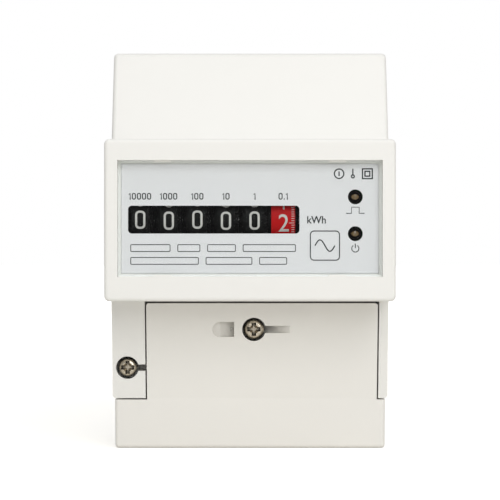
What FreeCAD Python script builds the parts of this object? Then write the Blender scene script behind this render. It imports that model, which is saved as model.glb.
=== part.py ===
import FreeCAD, Part
import Sketcher

import math
import os
import re

# Electricity meter for a DIN rail, four modules wide, with a mechanical register.
# Lengths are in millimetres. The origin is the middle of the rail seat: the front faces -Y, +Z is up
# and +X is to the right as seen from the front. Depths are measured forward from the rail seat.

SIZES = {
    # case
    "case_width": 75,
    "case_top": 46.5,
    "case_bottom": 62,
    "feet_depth": 5,
    "parting_depth": 22,
    "shoulder_root": 40,
    "shoulder_top": 30,
    "wall": 2,
    "corner_round": 1.2,
    "crown_round": 2,
    "lip_height": 1.5,
    "lip_thickness": 1,
    # bezel and its recess
    "bezel_overhang": 0.5,
    "bezel_height": 42.3,
    "bezel_front": 60,
    "bezel_round": 1.4,
    "rim_round": 1,
    "gate_x": 1.5,
    "gate_lift": 2.4,
    "gate_radius": 1.1,
    "gate_depth": 0.08,
    "rim_side": 3.45,
    "rim_end": 5.95,
    "window_lift": 0.45,
    "window_sink": 1.5,
    "window_thickness": 2,
    "window_bevel": 0.3,
    "window_play": 0.1,
    "window_step": 0.8,
    "plate_gap": 0.15,
    "snap_inset": 11.75,
    "snap_length": 4.6,
    "snap_rise": 0.5,
    "snap_depth": 0.9,
    "ledge": 1.8,
    "plate_thickness": 0.5,
    # ears and terminal cover
    "ear_rise": 13.8,
    "ear_fall": 5.2,
    "ear_round": 0.9,
    "ear_width": 9,
    "seam_inset": 2.5,
    "cover_inset": 0.6,
    "cover_fall": 1.3,
    "cover_wall": 1.8,
    "cover_round": 1.2,
    "cover_side_round": 1,
    "tongue_round": 0.75,
    "seam_gap": 0.4,
    "seam_top": 1,
    "deck_rise": 18.6,
    # sealing screws
    "seal_x": 1.06,
    "seal_inset": 8.15,
    "seal_hole": 3.2,
    "seal_sink": 8,
    "seal_seat_thickness": 1.5,
    "seal_head": 2.8,
    "seal_head_height": 5.4,
    "seal_pad_left": 11.7,
    "seal_pad_right": 12.6,
    "seal_pad_half": 4.2,
    "dee_left": 10.2,
    "dee_right": 4.3,
    "dee_half": 2.05,
    "dee_depth": 4.4,
    "dee_brim": 1.6,
    "wire_slot_half": 1,
    "wire_slot_end": 10.9,
    "ear_screw_inset": 4.1,
    "ear_screw_rise": 8.4,
    "ear_hole": 3.1,
    "ear_sink": 4.8,
    "ear_head": 2.6,
    "ear_head_height": 5.4,
    "ear_slot_half": 0.9,
    "ear_slot_depth": 8,
    "screw_shank": 1.45,
    "screw_play": 0.05,
    "screw_bite": 6,
    "screw_boss": 3,
    "recess_width": 0.55,
    "recess_length": 3,
    "recess_depth": 1.5,
    "recess_taper": 12,
    "recess_core": 0.55,
    "recess_core_taper": 25,
    "head_round": 1.2,
    "wire_hole": 0.6,
    "wire_hole_lift": 2.9,
    # rail seat
    "rail_height": 35,
    "rail_play": 0.2,
    "flange_space": 1.3,
    "hook_grip": 2.4,
    "seat_room": 3.3,
    # rail latch
    "latch_width": 20,
    "latch_flange": 24,
    "latch_flange_thickness": 1.8,
    "latch_thickness": 3.4,
    "latch_play": 0.12,
    "latch_grip": 2.3,
    "latch_clearance": 0.5,
    "latch_pull_width": 8,
    "latch_pull_height": 2.2,
    "latch_pull_lift": 1.8,
    "latch_nose": 1,
    "spring_window_width": 6.4,
    "spring_seat_rise": 12,
    "spring_length": 12,
    "spring_radius": 1.25,
    "spring_wire": 0.3,
    "spring_turns": 6,
    "spring_peg": 4,
    "spring_stop": 2,
    "latch_drop": 7,
    # register
    "drum_radius": 9.4,
    "drum_wall": 0.9,
    "drum_space": 1.1,
    "last_drum_extra": 1.66,
    "drum_gap": 1.05,
    "first_wheel_inset": 3.1,
    "register_lift": 0.2,
    "axle_radius": 1,
    "pin_radius": 0.6,
    "running_gap": 0.06,
    "hub_radius": 2.1,
    "hub_gap": 0.15,
    "web": 0.8,
    "gear_face": 0.9,
    "drum_rim": 1.4,
    "wheel_teeth": 20,
    "pinion_teeth": 8,
    "carry_inset": 2.9,
    "carry_wall": 0.9,
    "carry_reach": 0.6,
    "pinion_angle": -60,
    "drive_module": 0.5,
    "drive_teeth": 24,
    "reduction_angle": 70,
    "motor_module": 0.4,
    "reduction_teeth": 30,
    "motor_angle": 132,
    "motor_radius": 5.2,
    "motor_length": 7.5,
    "frame_thickness": 1.4,
    "frame_clearance": 0.6,
    "frame_margin": 3.2,
    "slot_inset": 2.65,
    "slot_right_inset": 21.6,
    "slot_end": 4.25,
    "slot_height": 7.3,
    "slot_round": 1,
    # lamps
    "lamp_inset": 7,
    "pulse_lamp_lift": 6.15,
    "power_lamp_drop": 3.48,
    "lamp_radius": 1.5,
    "lamp_flange": 1.9,
    "lamp_length": 5.2,
    "lamp_flange_thickness": 1,
    "lamp_dome": 1.4,
    "lamp_window": 1.95,
    "lamp_front_gap": 0.65,
    "lead_width": 0.5,
    "lead_spacing": 2.54,
    # boards
    "board_thickness": 1.6,
    "display_board_room": 1,
    "display_board_end_room": 0.65,
    "display_post_inset": 1.9,
    "display_post_end_inset": 2.3,
    "post_radius": 2.2,
    "board_screw": 1.1,
    "board_screw_head": 1.9,
    "board_screw_head_height": 1.3,
    "board_screw_length": 5,
    "screw_room": 0.5,
    "power_board_room": 2.5,
    "power_board_top_room": 4.5,
    "power_board_bottom_room": 10,
    "power_post": 8.4,
    "power_post_inset": 3.5,
    "power_post_lift": 2.3,
    # parts on the boards
    "header_inset": 7,
    "header_lift": -8,
    "header_pitch": 2.54,
    "header_pins": 8,
    "header_pin": 0.64,
    "header_block": 2.6,
    "capacitor_inset": 5,
    "capacitor_drop": 13,
    "capacitor_gap": 4.5,
    "capacitor_height": 8.5,
    "capacitor_depth": 13,
    "capacitor_round": 0.6,
    "storage_inset": 25,
    "storage_spacing": 13,
    "storage_drop": 8,
    "storage_radius": 5,
    "storage_length": 12.5,
    "varistor_inset": 8,
    "varistor_z": 10,
    "varistor_radius": 5,
    "varistor_thickness": 4.2,
    "varistor_lift": 1,
    "chip_x": 6,
    "chip_z": -4,
    "chip_width": 10.3,
    "chip_height": 7.5,
    "chip_depth": 2.3,
    "chip_standoff": 0.2,
    "chip_span": 10.2,
    "chip_lead_width": 0.4,
    "chip_leads": 8,
    "chip_pitch": 1.27,
    "crystal_x": 6,
    "crystal_z": 8,
    "crystal_length": 11,
    "crystal_width": 4.6,
    "crystal_depth": 3.6,
    "coupler_inset": 9,
    "coupler_rise": 8,
    "coupler_width": 6.4,
    "coupler_height": 4.6,
    "coupler_depth": 3.5,
    "coupler_span": 7.6,
    # terminals
    "terminal_inset": 9,
    "terminal_tail": 18,
    "terminal_count": 4,
    "terminal_width": 11,
    "terminal_depth": 12,
    "terminal_height": 14.3,
    "terminal_sink": 9,
    "terminal_gap": 0.1,
    "terminal_floor": 1.7,
    "wire_bore": 4.5,
    "wire_bore_length": 12.3,
    "clamp_screw": 2.1,
    "clamp_screw_play": 0.1,
    "clamp_screw_length": 4,
    "clamp_screw_low": 4.2,
    "clamp_screw_spacing": 6,
    "clamp_access": 2.6,
    "clamp_slot_width": 0.8,
    "clamp_slot_depth": 1,
    "carrier_play": 0.2,
    "strap_thickness": 1.5,
    "strap_depth": 8,
    "strap_left": 1.5,
    "strap_reach": 5.5,
    "tab_width": 3,
    "tab_thickness": 0.8,
    "tab_lap": 3.5,
    "shunt_tab": 4,
    # pulse output
    "pulse_inset": 6.5,
    "pulse_spacing": 3.4,
    "pulse_width": 7,
    "pulse_depth": 9,
    "pulse_bore": 1.2,
    "pulse_bore_length": 8,
    "pulse_access": 1.4,
    "pulse_setback": 1,
    "pulse_screw": 1,
    "pulse_screw_length": 2.4,
    "pulse_screw_low": 5,
}

# Lengths that follow from the sizes above, written once and read by every piece that needs them.
# A cutting tool runs past the faces that it opens.
RULES = {
    "past": "1",
    "case_half": "case_width / 2",
    "bezel_half": "case_half + bezel_overhang",
    "bezel_edge": "bezel_height / 2",
    "inner_half": "case_half - wall",
    "recess_left": "rim_side - bezel_half",
    "recess_right": "bezel_half - rim_side",
    "recess_low": "window_lift - bezel_edge + rim_end",
    "recess_high": "window_lift + bezel_edge - rim_end",
    "window_front": "bezel_front - window_sink",
    "window_back": "window_front - window_thickness",
    "plate_front": "window_back - plate_gap",
    "snap_x": "recess_right - snap_inset",
    "ledge_front": "plate_front - plate_thickness",
    "chamber_front": "ledge_front - wall",
    "shoulder_slope": "(shoulder_root - shoulder_top) / (case_top - bezel_edge)",
    "ear_slope": "(shoulder_root - ear_foot) / (ear_bottom - bezel_edge)",
    "deck_front": "parting_depth + wall",
    "ear_foot": "shoulder_root - ear_fall",
    "cover_foot": "ear_foot - cover_fall",
    "ear_bottom": "case_bottom - ear_rise",
    "deck_drop": "case_bottom - deck_rise",
    "ear_screw_drop": "ear_bottom - ear_screw_rise",
    "ear_seat": "ear_foot - ear_sink",
    "seal_seat": "shoulder_root - seal_sink",
    "spring_seat_drop": "case_bottom - spring_seat_rise",
    "left_seam": "case_half - ear_width",
    "right_seam": "case_half - seam_inset",
    "ear_screw_left": "case_half - ear_screw_inset",
    "cover_top": "bezel_edge + seam_top",
    "seal_drop": "bezel_edge + seal_inset",
    "cover_half": "case_half - cover_inset",
    "cover_split": "ear_bottom + seam_gap",
    "seal_face": "seal_seat - seal_seat_thickness",
    "seal_skin": "shoulder_root - ear_slope * (seal_drop - bezel_edge)",
    "dee_floor": "seal_skin - dee_depth",
    "wire_depth": "seal_seat + wire_hole_lift",
    "rail_half": "rail_height / 2 + rail_play",
    "seat_drop": "rail_half + seat_room",
    "latch_seat": "flange_space - latch_play",
    "latch_top": "rail_height / 2 - latch_grip",
    "spring_top": "spring_seat_drop - spring_length",
    "slot_left": "recess_right - slot_inset",
    "slot_right": "recess_right - slot_right_inset",
    "wheel_pitch": "(slot_left + slot_right - first_wheel_inset - slot_end) / 5",
    "first_wheel": "slot_left - first_wheel_inset",
    "drum_width": "wheel_pitch - gear_face - carry_wall - drum_space",
    "last_drum_width": "drum_width + last_drum_extra",
    "register_depth": "plate_front - plate_thickness - drum_gap - drum_radius",
    "board_front": "register_depth - drum_radius - frame_clearance - frame_thickness",
    "board_back": "board_front - board_thickness",
    "gear_radius": "drum_radius - drum_rim",
    "wheel_module": "2 * gear_radius / wheel_teeth",
    "carry_radius": "drum_radius - carry_inset",
    "pinion_pitch_radius": "wheel_module * pinion_teeth / 2",
    "pinion_distance": "gear_radius + pinion_pitch_radius",
    "pinion_depth": "register_depth - pinion_distance * cos(pinion_angle)",
    "pinion_lift": "register_lift + pinion_distance * sin(pinion_angle)",
    "reduction_distance": "drive_module * (drive_teeth + pinion_teeth) / 2",
    "reduction_depth": "register_depth - reduction_distance * cos(reduction_angle)",
    "reduction_lift": "register_lift + reduction_distance * sin(reduction_angle)",
    "motor_distance": "motor_module * (reduction_teeth + pinion_teeth) / 2",
    "motor_depth": "reduction_depth - motor_distance * cos(motor_angle)",
    "motor_lift": "reduction_lift + motor_distance * sin(motor_angle)",
    "wheel_reach": "drum_width / 2 + gear_face",
    "hub_left": "wheel_pitch - wheel_reach - hub_gap",
    "last_wheel": "5 * wheel_pitch - first_wheel",
    "last_reach": "last_drum_width / 2 + gear_face",
    "cheek_left": "-first_wheel - hub_left - hub_gap",
    "drive_right": "last_wheel + last_reach",
    "train_left": "last_wheel + last_drum_width / 2 + hub_gap",
    "train_step": "drive_right + 2 * hub_gap",
    "train_right": "train_step + gear_face",
    "cheek_right": "train_right + 2 * hub_gap",
    "frame_left": "cheek_left - frame_thickness",
    "frame_right": "cheek_right + frame_thickness",
    "lamp_x": "recess_right - lamp_inset",
    "lamp_tip": "plate_front - plate_thickness - lamp_front_gap",
    "lamp_back": "lamp_tip - lamp_length",
    "display_board_half": "inner_half - display_board_room",
    "display_board_edge": "bezel_edge - wall - display_board_end_room",
    "display_post_x": "display_board_half - display_post_inset",
    "display_post_z": "display_board_edge - display_post_end_inset",
    "power_board_half": "inner_half - power_board_room",
    "power_post_z": "rail_half + power_post_lift",
    "power_post_x": "power_board_half - power_post_inset",
    "power_board_top": "case_top - wall - power_board_top_room",
    "power_board_bottom": "terminal_high - power_board_bottom_room",
    "storage_z": "power_board_top - storage_drop",
    "capacitor_low": "power_board_top - capacitor_drop",
    "coupler_z": "coupler_rise - power_board_bottom",
    "power_back": "wall + power_post",
    "power_front": "power_back + board_thickness",
    "header_x": "header_inset - power_board_half",
    "capacitor_left": "capacitor_inset - power_board_half",
    "storage_x": "power_board_half - storage_inset",
    "capacitor_right": "storage_x - storage_radius - capacitor_gap",
    "varistor_x": "power_board_half - varistor_inset",
    "coupler_x": "power_board_half - coupler_inset",
    "terminal_first": "case_half - terminal_inset",
    "terminal_pitch": "(case_width - terminal_inset - terminal_tail) / (terminal_count - 1)",
    "terminal_low": "case_bottom - wall - terminal_floor",
    "terminal_high": "terminal_low - terminal_height",
    "terminal_y": "parting_depth - terminal_sink",
    "terminal_front": "terminal_y + terminal_depth / 2",
    "terminal_back": "terminal_y - terminal_depth / 2",
    "carrier_front": "parting_depth - terminal_gap",
    "carrier_half": "inner_half - carrier_play",
    "clamp_tip": "terminal_y + wire_bore + screw_play",
    "pulse_x": "case_half - pulse_inset",
    "pulse_front": "terminal_front - pulse_setback",
    "strap_top": "terminal_high - strap_thickness",
}

WORD = re.compile(r"[a-z_]+")
# Tooth form as shares of the module, for straight-flanked teeth with running clearance.
ADDENDUM = 0.75
DEDENDUM = 1.12
GEAR_GAP_ROOT = 1.5
GEAR_GAP_TIP = 2.55
PINION_GAP_ROOT = 1.15
PINION_GAP_TIP = 2.9
SPRING_STEPS = 10  # straight runs in a turn of the spring

doc = FreeCAD.newDocument("electricity_meter")
pieces = []


# The spreadsheet and its expressions

def fill_sheet():
    """Sizes first, then the lengths that follow from them, as formulas on the sheet itself."""
    sheet = doc.addObject("Spreadsheet::Sheet", "sizes")
    rows = [(name, str(value)) for name, value in SIZES.items()]
    rows += [(name, "=" + rule) for name, rule in RULES.items()]
    for row, (name, entry) in enumerate(rows, start=1):
        sheet.set("A%d" % row, name)
        sheet.set("B%d" % row, entry)
        sheet.setAlias("B%d" % row, name)
    doc.recompute()
    return sheet


def bound(text):
    """Turn a formula in plain names into an expression on the sheet's cells."""
    def expand(match):
        word = match.group(0)
        return "sizes." + word if word in SIZES or word in RULES else word
    return WORD.sub(expand, str(text))


def bind(thing, path, text):
    thing.setExpression(path, bound(text))


# Sketches

def box_loop(left, right, low, high):
    return [(left, low), (right, low), (right, high), (left, high)]


def disc(across, up, radius):
    return (across, up, radius)


def origin_feature(body, role):
    return [item for item in body.Origin.OriginFeatures if item.Role == role][0]


def pin_point(sketch, geometry, vertex, across, up):
    for kind, text in (("DistanceX", across), ("DistanceY", up)):
        index = sketch.addConstraint(Sketcher.Constraint(kind, -1, 1, geometry, vertex, 1.0))
        bind(sketch, "Constraints[%d]" % index, text)


def draw_outline(sketch, corners):
    first = sketch.GeometryCount
    count = len(corners)
    ring = [
        FreeCAD.Vector(math.cos(2 * math.pi * k / count), math.sin(2 * math.pi * k / count), 0)
        for k in range(count)
    ]
    for k in range(count):
        sketch.addGeometry(Part.LineSegment(ring[k], ring[(k + 1) % count]))
    for k in range(count):
        sketch.addConstraint(Sketcher.Constraint("Coincident", first + k, 2, first + (k + 1) % count, 1))
    for k, (across, up) in enumerate(corners):
        pin_point(sketch, first + k, 1, across, up)


def draw_disc(sketch, across, up, radius):
    index = sketch.addGeometry(Part.Circle(FreeCAD.Vector(0, 0, 0), FreeCAD.Vector(0, 0, 1), 1))
    pin_point(sketch, index, 3, across, up)
    constraint = sketch.addConstraint(Sketcher.Constraint("Radius", index, 1.0))
    bind(sketch, "Constraints[%d]" % constraint, radius)


def new_sketch(body, name, plane, lift, loops):
    sketch = body.newObject("Sketcher::SketchObject", name + "_sketch")
    sketch.AttachmentSupport = [(origin_feature(body, plane), "")]
    sketch.MapMode = "FlatFace"
    bind(sketch, "AttachmentOffset.Base.z", lift)
    for loop in loops:
        if isinstance(loop, list):
            draw_outline(sketch, loop)
        else:
            draw_disc(sketch, *loop)
    return sketch


def four_discs(across, up, radius):
    """A disc in each corner of a rectangle about the origin."""
    return [disc(a + across, b + up, radius) for a in ("-", "") for b in ("-", "")]


def bar_loop(across, up, width, height):
    """A rectangle about a middle point."""
    return box_loop("%s - %s / 2" % (across, width), "%s + %s / 2" % (across, width),
                    "%s - %s / 2" % (up, height), "%s + %s / 2" % (up, height))


# Features. FRONT looks along -Y, SIDE along +X and TOP along +Z; start and end are places on that line.

FRONT = "XZ_Plane"
SIDE = "YZ_Plane"
TOP = "XY_Plane"


def new_body(name):
    body = doc.addObject("PartDesign::Body", name)
    pieces.append(body)
    return body


def add(body, name, plane, start, end, *loops):
    sketch = new_sketch(body, name, plane, start, loops)
    feature = body.newObject("PartDesign::Pad", name)
    feature.Profile = sketch
    bind(feature, "Length", "(%s) - (%s)" % (end, start))
    return feature


def cut(body, name, plane, start, end, *loops):
    sketch = new_sketch(body, name, plane, start, loops)
    feature = body.newObject("PartDesign::Pocket", name)
    feature.Profile = sketch
    feature.Reversed = True
    bind(feature, "Length", "(%s) - (%s)" % (end, start))
    return feature


def flared_cut(taper, body, name, plane, start, end, *loops):
    """A cut whose sides lean outwards, by an angle, on the way from start to end."""
    feature = cut(body, name, plane, start, end, *loops)
    bind(feature, "TaperAngle", taper)
    return feature


def turn(body, name, corners):
    """Revolve a half profile, given as (along X, distance from X), about the X axis."""
    sketch = new_sketch(body, name, TOP, "0", [corners])
    feature = body.newObject("PartDesign::Revolution", name)
    feature.Profile = sketch
    feature.ReferenceAxis = (origin_feature(body, "X_Axis"), [""])
    feature.Angle = 360
    return feature


def repeat_round(body, feature, name, count):
    pattern = body.newObject("PartDesign::PolarPattern", name)
    pattern.Originals = [feature]
    pattern.Axis = (origin_feature(body, "X_Axis"), [""])
    pattern.Angle = 360
    bind(pattern, "Occurrences", count)
    body.Tip = pattern
    return pattern


def repeat_row(body, features, name, axis, step, count):
    pattern = body.newObject("PartDesign::LinearPattern", name)
    pattern.Originals = features
    pattern.Direction = (origin_feature(body, axis), [""])
    bind(pattern, "Length", "(%s) * (%s - 1)" % (step, count))
    bind(pattern, "Occurrences", count)
    body.Tip = pattern
    return pattern


def repeat_up(body, step):
    """Repeat the body's last row once more, a step higher."""
    pattern = body.Tip
    pattern.Direction2 = (origin_feature(body, "Z_Axis"), [""])
    bind(pattern, "Length2", step)
    pattern.Occurrences2 = 2


def round_edges(body, name, radius, chosen, kind="PartDesign::Fillet"):
    doc.recompute()
    base = body.Tip
    names = [
        "Edge%d" % (number + 1)
        for number, edge in enumerate(base.Shape.Edges)
        if chosen(edge)
    ]
    feature = body.newObject(kind, name)
    feature.Base = (base, names)
    bind(feature, "Radius" if kind.endswith("Fillet") else "Size", radius)
    return feature


def place(thing, across="0", depth="0", up="0"):
    bind(thing, "Placement.Base.x", across)
    bind(thing, "Placement.Base.y", "-(%s)" % depth)
    bind(thing, "Placement.Base.z", up)


def size(name):
    return float(sheet.get(name))


def middle(edge):
    return edge.valueAt((edge.FirstParameter + edge.LastParameter) / 2)


def near(value, target):
    return abs(value - target) < 0.01


def straight(edge, axis):
    """Is the edge a straight one along the axis (0 for X, 1 for Y, 2 for Z)?"""
    if edge.Curve.TypeId != "Part::GeomLine":
        return False
    along = edge.Curve.Direction
    return abs(abs(along[axis]) - 1) < 1e-6


def rod(name, radius, left, right, depth, up):
    """A round bar along X."""
    bar = doc.addObject("Part::Cylinder", name)
    bar.Placement = FreeCAD.Placement(FreeCAD.Vector(), FreeCAD.Rotation(FreeCAD.Vector(0, 1, 0), 90))
    bind(bar, "Radius", radius)
    bind(bar, "Height", "(%s) - (%s)" % (right, left))
    place(bar, left, depth, up)
    pieces.append(bar)
    return bar


# Case

def base_case():
    body = new_body("base_case")
    add(body, "block", SIDE, "-case_half", "case_half", [
        ("feet_depth", "case_top"),
        ("feet_depth", "rail_half - hook_grip"),
        ("flange_space", "rail_half - hook_grip"),
        ("flange_space", "rail_half"),
        ("0", "rail_half"),
        ("0", "-seat_drop"),
        ("feet_depth", "-seat_drop"),
        ("feet_depth", "-case_bottom"),
        ("-parting_depth", "-case_bottom"),
        ("-parting_depth", "case_top"),
    ])
    round_edges(body, "corners", "corner_round", lambda edge: straight(edge, 1)
                and near(abs(middle(edge).x), size("case_half"))
                and (near(middle(edge).z, size("case_top")) or near(middle(edge).z, -size("case_bottom"))))
    cut(body, "chamber", FRONT, "wall", "parting_depth + past",
        box_loop("-inner_half", "inner_half", "-case_bottom + wall", "case_top - wall"))
    cut(body, "upper_chamber", FRONT, "wall - feet_depth", "wall + past",
        box_loop("-inner_half", "inner_half", "rail_half + wall", "case_top - wall"))
    add(body, "lip", FRONT, "parting_depth - wall", "parting_depth + lip_height", [
        ("-inner_half", "wall - bezel_edge"),
        ("-inner_half", "case_top - wall"),
        ("inner_half", "case_top - wall"),
        ("inner_half", "wall - bezel_edge"),
        ("inner_half - lip_thickness", "wall - bezel_edge"),
        ("inner_half - lip_thickness", "case_top - wall - lip_thickness"),
        ("lip_thickness - inner_half", "case_top - wall - lip_thickness"),
        ("lip_thickness - inner_half", "wall - bezel_edge"),
    ])
    flange = "latch_flange / 2 + latch_play"
    narrow = "latch_width / 2 + latch_play"
    shelf = "latch_seat + latch_flange_thickness + latch_play"
    cut(body, "latch_way", TOP, "-case_bottom - past", "-seat_drop + past",
        box_loop("-(%s)" % flange, flange, "latch_seat - latch_play", shelf))
    cut(body, "latch_mouth", TOP, "-case_bottom - past", "-seat_drop + past",
        box_loop("-(%s)" % narrow, narrow, "latch_seat", "feet_depth + past"))
    add(body, "spring_stop", FRONT, "-flange_space - latch_flange_thickness", "-latch_seat + 2 * latch_play",
        box_loop("-spring_peg / 2", "spring_peg / 2", "-spring_seat_drop - spring_stop", "-spring_seat_drop"))
    add(body, "board_posts", FRONT, "wall / 2", "power_back",
        *four_discs("power_post_x", "power_post_z", "post_radius"))
    cut(body, "board_post_holes", FRONT, "power_front - board_screw_length - screw_room", "power_back + past",
        *four_discs("power_post_x", "power_post_z", "board_screw + screw_play"))
    add(body, "screw_post", FRONT, "wall / 2", "parting_depth",
        disc("-ear_screw_left", "-ear_screw_drop", "screw_boss"))
    cut(body, "screw_post_hole", FRONT, "parting_depth - screw_bite - screw_room", "parting_depth + past",
        disc("-ear_screw_left", "-ear_screw_drop", "screw_shank + screw_play"))
    entry = cut(body, "wire_entry", TOP, "-case_bottom - past", "-case_bottom + wall + past",
                disc("-terminal_first", "-terminal_y", "wire_bore"))
    repeat_row(body, [entry], "wire_entries", "X_Axis", "terminal_pitch", "terminal_count")
    cut(body, "pulse_entries", TOP, "-case_bottom - past", "-case_bottom + wall + past",
        disc("pulse_x - pulse_spacing / 2", "-terminal_y", "pulse_bore"),
        disc("pulse_x + pulse_spacing / 2", "-terminal_y", "pulse_bore"))


def front_case():
    body = new_body("front_case")
    add(body, "block", SIDE, "-case_half", "case_half", [
        ("-parting_depth", "case_top"),
        ("-shoulder_top", "case_top"),
        ("-shoulder_root", "bezel_edge"),
        ("-shoulder_root", "-bezel_edge"),
        ("-ear_foot", "-ear_bottom"),
        ("-parting_depth", "-ear_bottom"),
    ])
    round_edges(body, "crown", "crown_round", lambda edge: straight(edge, 0)
                and near(middle(edge).z, size("case_top")) and near(middle(edge).y, -size("shoulder_top")))
    round_edges(body, "shoulder_corners", "corner_round", lambda edge: not straight(edge, 2)
                and near(abs(middle(edge).x), size("case_half"))
                and middle(edge).z > size("bezel_edge") + size("past")
                and middle(edge).y < -size("parting_depth") - size("past"))
    round_edges(body, "ear_corners", "ear_round", lambda edge: straight(edge, 1)
                and near(abs(middle(edge).x), size("case_half"))
                and near(middle(edge).z, -size("ear_bottom")))
    add(body, "bezel", FRONT, "shoulder_root - wall", "bezel_front",
        box_loop("-bezel_half", "bezel_half", "-bezel_edge", "bezel_edge"))
    round_edges(body, "bezel_corners", "bezel_round", lambda edge: straight(edge, 1)
                and near(abs(middle(edge).x), size("bezel_half"))
                and near(abs(middle(edge).z), size("bezel_edge")))
    round_edges(body, "bezel_rim", "rim_round",
                lambda edge: near(middle(edge).y, -size("bezel_front")))
    cut(body, "gate_mark", FRONT, "bezel_front - gate_depth", "bezel_front + past",
        disc("gate_x", "gate_lift - bezel_edge", "gate_radius"))
    slope_top = "-shoulder_top + wall * (1 - shoulder_slope)"
    cut(body, "shoulder_chamber", SIDE, "-inner_half", "inner_half", [
        ("-parting_depth + past", "case_top - wall"),
        (slope_top, "case_top - wall"),
        ("-shoulder_root + wall + wall * shoulder_slope", "bezel_edge - wall"),
        ("-shoulder_root + wall + wall * shoulder_slope", "-bezel_edge + wall"),
        ("-parting_depth + past", "-bezel_edge + wall"),
    ])
    cut(body, "bezel_chamber", FRONT, "parting_depth - past", "chamber_front",
        box_loop("wall - bezel_half", "bezel_half - wall", "wall - bezel_edge", "bezel_edge - wall"))
    cut(body, "window_recess", FRONT, "window_back", "bezel_front + past",
        box_loop("recess_left", "recess_right", "recess_low", "recess_high"))
    cut(body, "plate_recess", FRONT, "ledge_front", "window_back + past",
        box_loop("recess_left + window_step", "recess_right - window_step",
                 "recess_low + window_step", "recess_high - window_step"))
    cut(body, "ledge_opening", FRONT, "chamber_front - past", "ledge_front + past",
        box_loop("recess_left + ledge", "recess_right - ledge", "recess_low + ledge", "recess_high - ledge"))
    cut(body, "cover_bay", FRONT, "deck_front", "shoulder_root + past",
        box_loop("-left_seam", "right_seam", "-ear_bottom - past", "-bezel_edge"))
    cut(body, "terminal_bay", FRONT, "parting_depth - past", "deck_front + past",
        box_loop("-left_seam", "right_seam", "-ear_bottom - past", "-deck_drop"))
    cut(body, "ear_hollow", FRONT, "parting_depth - past", "ear_foot - wall",
        box_loop("-inner_half", "-left_seam - wall",
                 "ear_hole + wall - ear_screw_drop", "-bezel_edge - wall"))
    cut(body, "ear_counterbore", FRONT, "ear_seat", "shoulder_root + past",
        disc("-ear_screw_left", "-ear_screw_drop", "ear_hole"))
    cut(body, "ear_bore", FRONT, "parting_depth - past", "ear_seat + past",
        disc("-ear_screw_left", "-ear_screw_drop", "screw_shank + screw_play"))
    cut(body, "ear_seal_slot", FRONT, "ear_foot + ear_slope * (ear_bottom - ear_screw_drop) - ear_slot_depth",
        "shoulder_root + past",
        box_loop("ear_head - ear_screw_left", "-left_seam + past",
                 "-ear_screw_drop - ear_slot_half", "-ear_screw_drop + ear_slot_half"))
    add(body, "cover_post", FRONT, "deck_front - wall / 2", "seal_face",
        disc("seal_x", "-seal_drop", "screw_boss"))
    cut(body, "cover_post_hole", FRONT, "seal_face - screw_bite - screw_room", "seal_face + past",
        disc("seal_x", "-seal_drop", "screw_shank + screw_play"))
    add(body, "window_snaps", FRONT, "window_front - snap_depth", "window_front", *snap_loops("0"))
    display_posts(body)


def snap_loops(play):
    """Two snaps in the recess's upper wall and two in its lower one, or the notches that take them."""
    loops = []
    for side in ("-snap_x", "snap_x"):
        left = "%s - snap_length / 2 - %s" % (side, play)
        right = "%s + snap_length / 2 + %s" % (side, play)
        loops.append(box_loop(left, right, "recess_high - snap_rise - %s" % play, "recess_high + snap_rise"))
        loops.append(box_loop(left, right, "recess_low - snap_rise", "recess_low + snap_rise + %s" % play))
    return loops


def display_posts(body):
    """Four posts behind the bezel's face carry the display board."""
    add(body, "display_posts", FRONT, "board_front", "chamber_front + wall / 2",
        *four_discs("display_post_x", "display_post_z", "post_radius"))
    tip = "board_back + board_screw_length + screw_room"
    cut(body, "display_post_holes", FRONT, "board_front - past", tip,
        *four_discs("display_post_x", "display_post_z", "board_screw + screw_play"))


def terminal_cover():
    body = new_body("terminal_cover")
    add(body, "block", SIDE, "-cover_half", "cover_half", [
        ("-deck_front", "-cover_top"),
        ("-shoulder_root + ear_slope * seam_gap", "-cover_top"),
        ("-ear_foot", "-ear_bottom"),
        ("-cover_foot", "-case_bottom"),
        ("-parting_depth", "-case_bottom"),
        ("-parting_depth", "-cover_split"),
        ("-deck_front", "-cover_split"),
    ])
    cut(body, "left_shoulder", FRONT, "parting_depth - past", "shoulder_root + past",
        box_loop("-cover_half - past", "seam_gap - left_seam", "-cover_split", "past - cover_top"))
    cut(body, "right_shoulder", FRONT, "parting_depth - past", "shoulder_root + past",
        box_loop("right_seam - seam_gap", "cover_half + past", "-cover_split", "past - cover_top"))
    round_edges(body, "foot_edge", "cover_round", lambda edge: straight(edge, 0)
                and near(middle(edge).z, -size("case_bottom")) and near(middle(edge).y, -size("cover_foot")))
    round_edges(body, "side_edges", "cover_side_round", side_front_edge)
    round_edges(body, "tongue_corners", "tongue_round", lambda edge: straight(edge, 1)
                and near(middle(edge).z, -size("cover_top")))
    rim = "(seam_gap + cover_wall)"
    cut(body, "tongue_hollow", SIDE, rim + " - left_seam", "right_seam - " + rim, [
        ("-deck_front + past", "-cover_top - cover_wall"),
        ("-shoulder_root + cover_wall + ear_slope * " + rim, "-cover_top - cover_wall"),
        ("-ear_foot + cover_wall", "-ear_bottom"),
        ("-cover_foot + cover_wall", "-case_bottom + cover_wall"),
        ("-parting_depth + past", "-case_bottom + cover_wall"),
        ("-parting_depth + past", "-cover_split"),
        ("-deck_front + past", "-cover_split"),
    ])
    cut(body, "foot_hollow", SIDE, "cover_wall - cover_half", "cover_half - cover_wall", [
        ("-ear_foot + cover_wall", "-cover_split - cover_wall"),
        ("-cover_foot + cover_wall", "-case_bottom + cover_wall"),
        ("-parting_depth + past", "-case_bottom + cover_wall"),
        ("-parting_depth + past", "-cover_split - cover_wall"),
    ])
    seal_features(body)


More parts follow.
